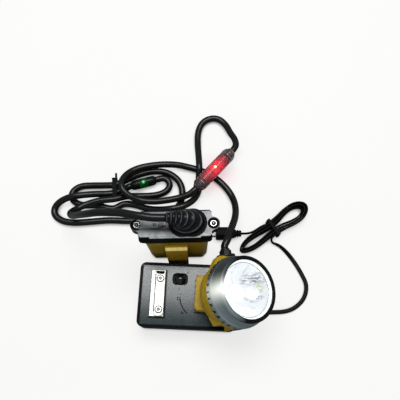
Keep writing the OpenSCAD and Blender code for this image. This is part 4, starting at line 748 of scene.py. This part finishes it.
cable("cable_from_battery", [BOOT_EXIT, BOOT_EXIT - BATTERY.side * 3 * MM], ROUTE_A,
      [PILOT_TO + PILOT_WAY * 2 * MM, PILOT_TO], "main_cable_a",
      (0, 1, 0))
cable("cable_between_lamps", [PILOT_FROM, PILOT_FROM - PILOT_WAY * 2 * MM], ROUTE_B,
      [BEACON_TO + BEACON_WAY * 2.4 * MM, BEACON_TO], "main_cable_b")
cable("cable_to_headpiece", [BEACON_FROM, BEACON_FROM - BEACON_WAY * 2.4 * MM], ROUTE_C,
      [GLAND_EXIT + HEAD.up * 3 * MM, GLAND_EXIT], "main_cable_c")

# ---- thin twin lead, tied in a hank -----------------------------------------------------
LEAD_W, LEAD_T = 4.4, 2.3
# The hank's values are part.scad's, in millimetres.
HANK_AT, HANK_TURN, HANK_Z = (75.4, 54.4), math.radians(35.0), 3.4
HANK_TURNS, HANK_RINGS, HANK_LAYER = 4.5, 24, 4.9
HANK_HALF_L, HANK_STEP = 45.0, 3.1
HANK_UPPER_W, HANK_LOWER_W, HANK_WAIST_W = 16.5, 11.5, 7.64


def on_hank(x, y, z):
    c, w = math.cos(HANK_TURN), math.sin(HANK_TURN)
    return (HANK_AT[0] + x * c - y * w, HANK_AT[1] + x * w + y * c, z)


def hank_point(i):
    """Point i of the hank, as part.scad works it out."""
    v = i / HANK_RINGS
    t = math.radians(270.0 + 360.0 * v)
    inset = HANK_STEP * min(v, HANK_TURNS - v)
    share = min(1.0, max(0.0, (v - HANK_TURNS / 2 + 0.1) / 0.2))
    lobe = HANK_UPPER_W if math.cos(t) > 0 else HANK_LOWER_W
    half = HANK_WAIST_W + (lobe - HANK_WAIST_W) * math.sin(math.pi / 2 * abs(math.cos(t))) ** 2
    return on_hank((HANK_HALF_L - inset) * math.cos(t), -math.sin(t) * (half - inset),
                   HANK_Z + HANK_LAYER * share * share * (3 - 2 * share))


HANK = [hank_point(i) for i in range(int(HANK_TURNS * HANK_RINGS) + 1)]
LEAD_B = [
    HANK[-1], (76.8, 46.2, 8.3), (74.4, 44.2, 7.8), (73, 41.6, 6.2),
    (74.2, 38.9, 4.4), (77.4, 37.6, 3.3), (81, 36, 2.8), (86, 32, 2.2), (91, 26.5, 1.6),
    (96, 19.5, 1.4), (100.5, 12, 1.4), (104.5, 4, 1.4), (107.5, -4, 1.4), (107.3, -12, 1.4),
    (104, -20, 1.4), (98, -26.5, 1.4), (91, -30.8, 1.4), (83, -33, 1.4), (73, -33.6, 1.4),
    (63, -33.8, 1.5), (56, -33.9, 2.6), (50, -33.9, 4.8), (44.5, -33.9, 6.7),
]
LEAD_ROLL = [90.0] * 5 + [75.0, 60.0, 45.0, 30.0, 15.0] + [0.0] * 14
GROMMET_END = DOCK.at(54.5, -11.3, 7.0)
PLUG_OUT = (41.0, 48.2, 6.5)
LEAD_A = [PLUG_OUT, (45.5, 48.2, 6.4), (51, 49.4, 5), (56.6, 52.4, 3.8), (62, 56, 3.4),
          (65.8, 57.9, 3.4), on_hank(-2.5, HANK_WAIST_W, HANK_Z)]


def twin_lead():
    """The flat lead from dock to connector: on edge in the hank, rolled flat towards the dock."""
    spine = [GROMMET_END] + [put(*p) for p in reversed(LEAD_B)]
    rolls = list(reversed(LEAD_ROLL))
    spine += [put(*p) for p in reversed(HANK[:-1])]
    rolls += [90.0] * (len(HANK) - 1)
    spine += [put(*p) for p in reversed(LEAD_A)]
    rolls += [90.0] * len(LEAD_A)
    line, turn = [], []
    for i in range(len(spine) - 1):
        part = smooth_span(spine, i, 2.4 * MM)
        for k, q in enumerate(part):
            line.append(q)
            turn.append(rolls[i] + (rolls[i + 1] - rolls[i]) * k / len(part))
    line.append(spine[-1])
    turn.append(rolls[-1])
    around = 16
    along = directions(line)
    flat = []
    for q, t, roll in zip(line, along, turn):
        side = t.cross(Vector((0, 0, 1))).normalized()
        up = side.cross(t)
        a = math.radians(roll)
        wide, thick = side * math.cos(a) + up * math.sin(a), up * math.cos(a) - side * math.sin(a)
        for k in range(around):
            u = 2 * math.pi * (k + 0.5) / around
            waist = 1.0 - 0.3 * math.exp(-((math.cos(u) / 0.3) ** 2))
            flat.append(q + wide * (LEAD_W / 2 * MM * math.cos(u))
                        + thick * (LEAD_T / 2 * MM * math.sin(u) * waist))
    made = piece("twin_lead", flat, ring_faces(len(line), around), "lead_jacket")
    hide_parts("lead_stretch_b", "lead_hank", "lead_stretch_a")


twin_lead()

# ---- headpiece --------------------------------------------------------------------------
NOTCH_COUNT, NOTCH_DEPTH = 34, 0.95
NOTCH_WIDTHS = [0.0, 0.55, 0.15, 0.9, 0.35, 0.7, 0.1, 0.8, 0.45]


def knurl(t, j):
    """Irregular grip notches in the bezel's rear band, rings 8 to 11 of its profile."""
    if not 8 <= j <= 11:
        return 0.0
    turned = t / (2 * math.pi) * NOTCH_COUNT
    phase = turned % 1.0
    width = 0.55 + 0.2 * NOTCH_WIDTHS[int(turned) % len(NOTCH_WIDTHS)]
    deep = NOTCH_DEPTH if phase > width else 0.0
    return -deep * (0.35 if j == 8 else 1.0)


def bezel_piece():
    made = lathe("bezel_ring", HEAD, [
        (26.8, -0.2), (27.0, 0.0), (29.8, -0.05), (30.5, -0.8), (30.5, -3.0), (31.9, -11.8),
        (32.9, -13.3), (33.3, -14.0), (33.5, -15.2), (33.5, -16.2), (33.5, -18.9), (33.2, -19.9),
        (29.7, -20.0), (29.7, -7.0), (28.5, -7.0), (28.5, -1.6), (26.8, -1.4),
    ], "bezel", 408, ripple=knurl)
    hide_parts("bezel")
    lathe("bezel_ridge", HEAD, [(31.4, -12.4), (32.75, -12.5), (33.1, -12.9), (33.1, -13.5),
                                (31.4, -13.6)], "bezel", 120)
    lathe("bezel_seam", HEAD, [(29.2, -1.2), (30.6, -3.1), (30.62, -3.5), (29.4, -3.9)], "bezel", 120)


def lens_and_ring():
    glass = lathe("lens_glass", HEAD, [
        (0.05, -1.5), (10.0, -1.52), (20.0, -1.6), (26.0, -1.75), (27.6, -1.95), (28.1, -2.3),
        (28.1, -4.2), (27.95, -4.33), (27.7, -4.35), (26.0, -4.35), (10.0, -4.35), (0.05, -4.35),
    ], "clear_lens", 96, closed=False)
    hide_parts("lens")
    # The ring round the lens glows with painted light.
    lathe("lens_ring", HEAD, [(24.9, -4.9), (26.2, -4.5), (28.4, -4.5), (28.4, -5.35),
                              (25.3, -5.4)], "lens_ring", 96)
    lathe("lens_line", HEAD, [(24.5, -4.95), (24.9, -4.75), (25.0, -5.1), (24.7, -5.3)],
          "grey_plug", 96)
    lathe("lens_line_outer", HEAD, [(26.85, -4.46), (26.9, -4.42), (27.15, -4.42),
                                    (27.2, -4.46)], "grey_plug", 96)


def mirror_bowl():
    """The bowl: a parabola inside, a lip, and a parabola back down outside."""
    floor_z, depth, outer_depth = -20.3, 14.9, 14.4
    inner = [(4.7 + 20.4 * math.sqrt(i / 24), floor_z + depth * i / 24) for i in range(25)]
    lip = [(26.0, -5.4), (26.0, -5.9)]
    outer = [(5.9 + 20.3 * math.sqrt(i / 12), floor_z + outer_depth * i / 12)
             for i in range(11, -1, -1)]
    bowl = lathe("mirror_bowl", HEAD, inner + lip + outer, "bright_reflector", 96)
    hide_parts("reflector")


bezel_piece()
lens_and_ring()
mirror_bowl()

# ---- battery boot and lid ---------------------------------------------------------------
BOOT_LONG, BOOT_WIDE, BOOT_TIP_R = 16.6, 12.9, 6.2
BOOT_SWELL = 1.5


def boot_piece():
    """A ribbed elbow, wide at its foot, that bends a quarter turn and narrows to the cable."""
    bend, around, rings = BOOT_BEND, 48, 112
    line, sizes = [BATTERY.at(BOOT_X, BOOT_Y, BOOT_Z - 0.6)], [(15.4, 11.6)]
    for i in range(rings + 1):
        share = i / rings
        a = math.pi / 2 * share
        line.append(BATTERY.at(BOOT_X - bend + bend * math.cos(a), BOOT_Y,
                               BOOT_Z + bend * math.sin(a)))
        phase = (share ** BOOT_SPREAD * BOOT_RIBS) % 1.0
        swell = BOOT_SWELL * math.exp(-(((phase - 0.4) / 0.2) ** 2)) if share < 0.985 else 0.0
        ease = math.sin(math.pi / 2 * share ** 0.85)
        sizes.append((BOOT_LONG - BOOT_SWELL + (BOOT_TIP_R - BOOT_LONG) * ease + swell,
                      BOOT_WIDE - BOOT_SWELL + (BOOT_TIP_R - BOOT_WIDE) * ease + swell))
    line.append(BOOT_EXIT)
    sizes.append((4.6, 4.6))
    along = [Vector((0, 0, 1))]
    for i in range(rings + 1):
        a = math.pi / 2 * i / rings
        along.append(BATTERY.way(-math.sin(a), 0, math.cos(a)))
    along.append(BATTERY.way(-1, 0, 0))
    flat = []
    for q, t, (long, wide) in zip(line, along, sizes):
        across = BATTERY.up
        inner = across.cross(t)
        for k in range(around):
            u = 2 * math.pi * k / around
            flat.append(q + inner * (long * MM * math.cos(u)) + across * (wide * MM * math.sin(u)))
    made = piece("ribbed_boot", flat, ring_faces(len(line), around), "boot_rubber")
    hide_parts("cable_boot")


def lug_screw(tag, lug_x):
    """A round-headed tamper screw in its well, on one of the lid's lugs."""
    spot = Place(BATTERY.at(lug_x, 0, 0), BATTERY.side, BATTERY.up, BATTERY.out)
    lathe(f"lug_ring_{tag}", spot, [(1.75, 88.9), (1.85, 89.45), (2.85, 89.5), (3.1, 89.2),
                                    (3.1, 88.2), (1.75, 88.2)], "steel", 40)
    lathe(f"lug_socket_{tag}", spot, [(0.05, 89.42), (1.9, 89.42), (1.9, 89.1), (0.05, 89.1)],
          "glossy_black", 24, closed=False)
    lathe(f"lug_pin_{tag}", spot, [(0.05, 89.75), (0.6, 89.7), (0.75, 89.5), (0.75, 89.2),
                                   (0.05, 89.2)], "steel", 20, closed=False)
    lathe(f"lug_well_{tag}", spot, [(3.12, 88.25), (3.7, 88.25), (3.75, 90.05), (4.1, 90.12),
                                    (5.3, 90.12), (5.65, 89.8), (5.5, 89.4), (3.3, 88.1)],
          "strap", 48)


LUG_X = 34.8
RIB_LOW, RIB_HIGH = 91.3, 91.62

boot_piece()
lug_screw("left", -LUG_X)
lug_screw("right", LUG_X)
for tag, low, high in (("pad", (-15.4, -2.6), (-10.2, 1.6)), ("mark", (-19.8, -1.9), (-16.4, 1.2))):
    block(f"rib_{tag}", BATTERY, (*low, RIB_LOW), (*high, RIB_HIGH), "black_plastic", soft=0.25)

# ---- dock's plate and bracket -----------------------------------------------------------
# Heights of the textured plate, of the bracket's leaf and of its screws' heads.
PLATE_Z, LEAF_Z, HEAD_Z = 27.04, 32.2, 33.96
LEAF_TOP = LEAF_Z + 0.05
stroke("plate_arc", DOCK, [(-7.3, -3.7), (-7.0, -6.2), (-6.1, -8.8), (-4.7, -11.4), (-2.8, -14.2),
                           (-0.2, -17.2)], PLATE_Z, 0.95, "dark_groove")
stroke("plate_square", DOCK, [(-9.9, -1.7), (-7.5, -1.7), (-7.5, -4.1), (-9.9, -4.1), (-9.9, -1.5)],
       PLATE_Z, 0.75, "dark_groove")
stroke("plate_cross", DOCK, [(-5.6, -15.9), (-3.8, -17.5)], PLATE_Z, 1.1, "dark_groove")
stroke("plate_tick", DOCK, [(-1.4, 23.6), (-0.6, 21.8)], PLATE_Z, 0.8, "dark_groove")
stroke("plate_scratch", DOCK, [(-9.2, 8.0), (-9.0, 5.0)], PLATE_Z, 0.45, "dark_groove")
stroke("plate_dot", DOCK, [(-7.6, 1.0), (-6.8, 1.0)], PLATE_Z, 0.8, "dark_groove")


def bracket_screw_marks(tag, x, y):
    """The dark lines round and on one of the bracket's screws."""
    spot = Place(DOCK.at(x, y, 0), DOCK.side, DOCK.up, DOCK.out)
    low, high = LEAF_Z - 0.1, LEAF_Z + 0.06
    lathe(f"screw_groove_{tag}", spot, [(2.95, low), (2.95, high), (3.75, high), (3.75, low)],
          "dark_groove", 40)
    under = HEAD_Z - 0.1
    lathe(f"screw_eye_{tag}", spot, [(1.0, under), (1.0, HEAD_Z), (1.5, HEAD_Z), (1.5, under)],
          "dark_groove", 32)
    stroke(f"screw_cut_{tag}", spot, [(-0.75, 0.4), (0.75, -0.4)], HEAD_Z, 0.5, "dark_groove")


bracket_screw_marks("a", -27.6, 15.1)
bracket_screw_marks("b", -27.6, -14.9)
stroke("leaf_fold", DOCK, [(-32.3, 19.6), (-32.2, 10.0), (-32.3, 0.0), (-32.2, -10.0),
                           (-32.3, -17.6)], LEAF_TOP, 0.8, "dark_groove")
stroke("leaf_slot", DOCK, [(-32.2, 21.4), (-23.9, 21.4)], LEAF_TOP, 2.2, "dark_groove")

# ---- lights and floor -------------------------------------------------------------------
SKY, SKY_STRENGTH = (0.93, 0.98, 1.0, 1.0), 0.42
BACKDROP, BACKDROP_STRENGTH = (1.0, 1.0, 0.985, 1.0), 0.94
KEY_AT, KEY_AIM, KEY_SIZE, KEY_POWER = (0.0, 0.4, 1.15), (0, 0.02, 0.0), (0.8, 0.5), 11.0
# The floor reaches this far each way, and lies just under the object's lowest face.
FLOOR_REACH, FLOOR_Z = 3.0, -0.0002


def studio_world():
    """An even pale sky; the camera itself sees a near-white backdrop."""
    world = bpy.data.worlds.new("studio")
    world.use_nodes = True
    tree = world.node_tree
    sky = tree.nodes["Background"]
    sky.inputs["Color"].default_value = SKY
    sky.inputs["Strength"].default_value = SKY_STRENGTH
    backdrop = tree.nodes.new("ShaderNodeBackground")
    backdrop.inputs["Color"].default_value = BACKDROP
    backdrop.inputs["Strength"].default_value = BACKDROP_STRENGTH
    both = tree.nodes.new("ShaderNodeMixShader")
    seen = tree.nodes.new("ShaderNodeLightPath").outputs["Is Camera Ray"]
    tree.links.new(seen, both.inputs[0])
    tree.links.new(sky.outputs[0], both.inputs[1])
    tree.links.new(backdrop.outputs[0], both.inputs[2])
    tree.links.new(both.outputs[0], tree.nodes["World Output"].inputs["Surface"])
    HERE.world = world


def key_light():
    data = bpy.data.lights.new("key", "AREA")
    data.shape = "RECTANGLE"
    data.size, data.size_y = KEY_SIZE
    data.energy = KEY_POWER
    made = bpy.data.objects.new("key", data)
    HERE.collection.objects.link(made)
    made.location = KEY_AT
    made.rotation_euler = (Vector(KEY_AIM) - Vector(KEY_AT)).to_track_quat("-Z", "Y").to_euler()


def floor_paper():
    """White paper glowing evenly for the camera, with painted shade right under the object and a
    painted red glow near the red lamp.
    """
    s = Shader("floor_paper")
    s.link(s.ramp(s.noise(3.0), [(0.3, (0.195, 0.195, 0.193)), (0.7, (0.21, 0.21, 0.208))]),
           s.principled.inputs["Base Color"])
    s.principled.inputs["Roughness"].default_value = 0.9
    s.principled.inputs["Specular IOR Level"].default_value = 0.1
    near = s.add("ShaderNodeAmbientOcclusion", samples=12)
    near.inputs["Distance"].default_value = 0.006
    seen = s.add("ShaderNodeLightPath").outputs["Is Camera Ray"]
    # Painted shade: the floor's glow fades where parts stand close by.
    open_floor = s.span(near.outputs["AO"], 0.0, 1.0, 0.2, 0.75)
    # Painted red glow on the floor round the red lamp.
    _, x, y, z = s.inside(BEACON)
    painted_red_glow = s.times(s.span(s.radius(x, y), 1.0, 0.0, 12.0, 30.0),
                    s.span(s.math("ABSOLUTE", z), 1.0, 0.0, 8.0, 26.0))
    s.link(s.mix(painted_red_glow, (1.0, 1.0, 0.985), (1.0, 0.66, 0.72)), s.principled.inputs["Emission Color"])
    s.link(s.times(s.times(open_floor, seen), 0.75), s.principled.inputs["Emission Strength"])
    return s.material


def floor_sheet():
    mesh = bpy.data.meshes.new("floor")
    r = FLOOR_REACH
    mesh.from_pydata([(-r, -r, 0), (r, -r, 0), (r, r, 0), (-r, r, 0)], [], [(0, 1, 2, 3)])
    floor = bpy.data.objects.new("floor", mesh)
    HERE.collection.objects.link(floor)
    floor.location.z = FLOOR_Z
    mesh.materials.append(floor_paper())


studio_world()
key_light()
floor_sheet()

HERE.view_settings.view_transform = "Standard"
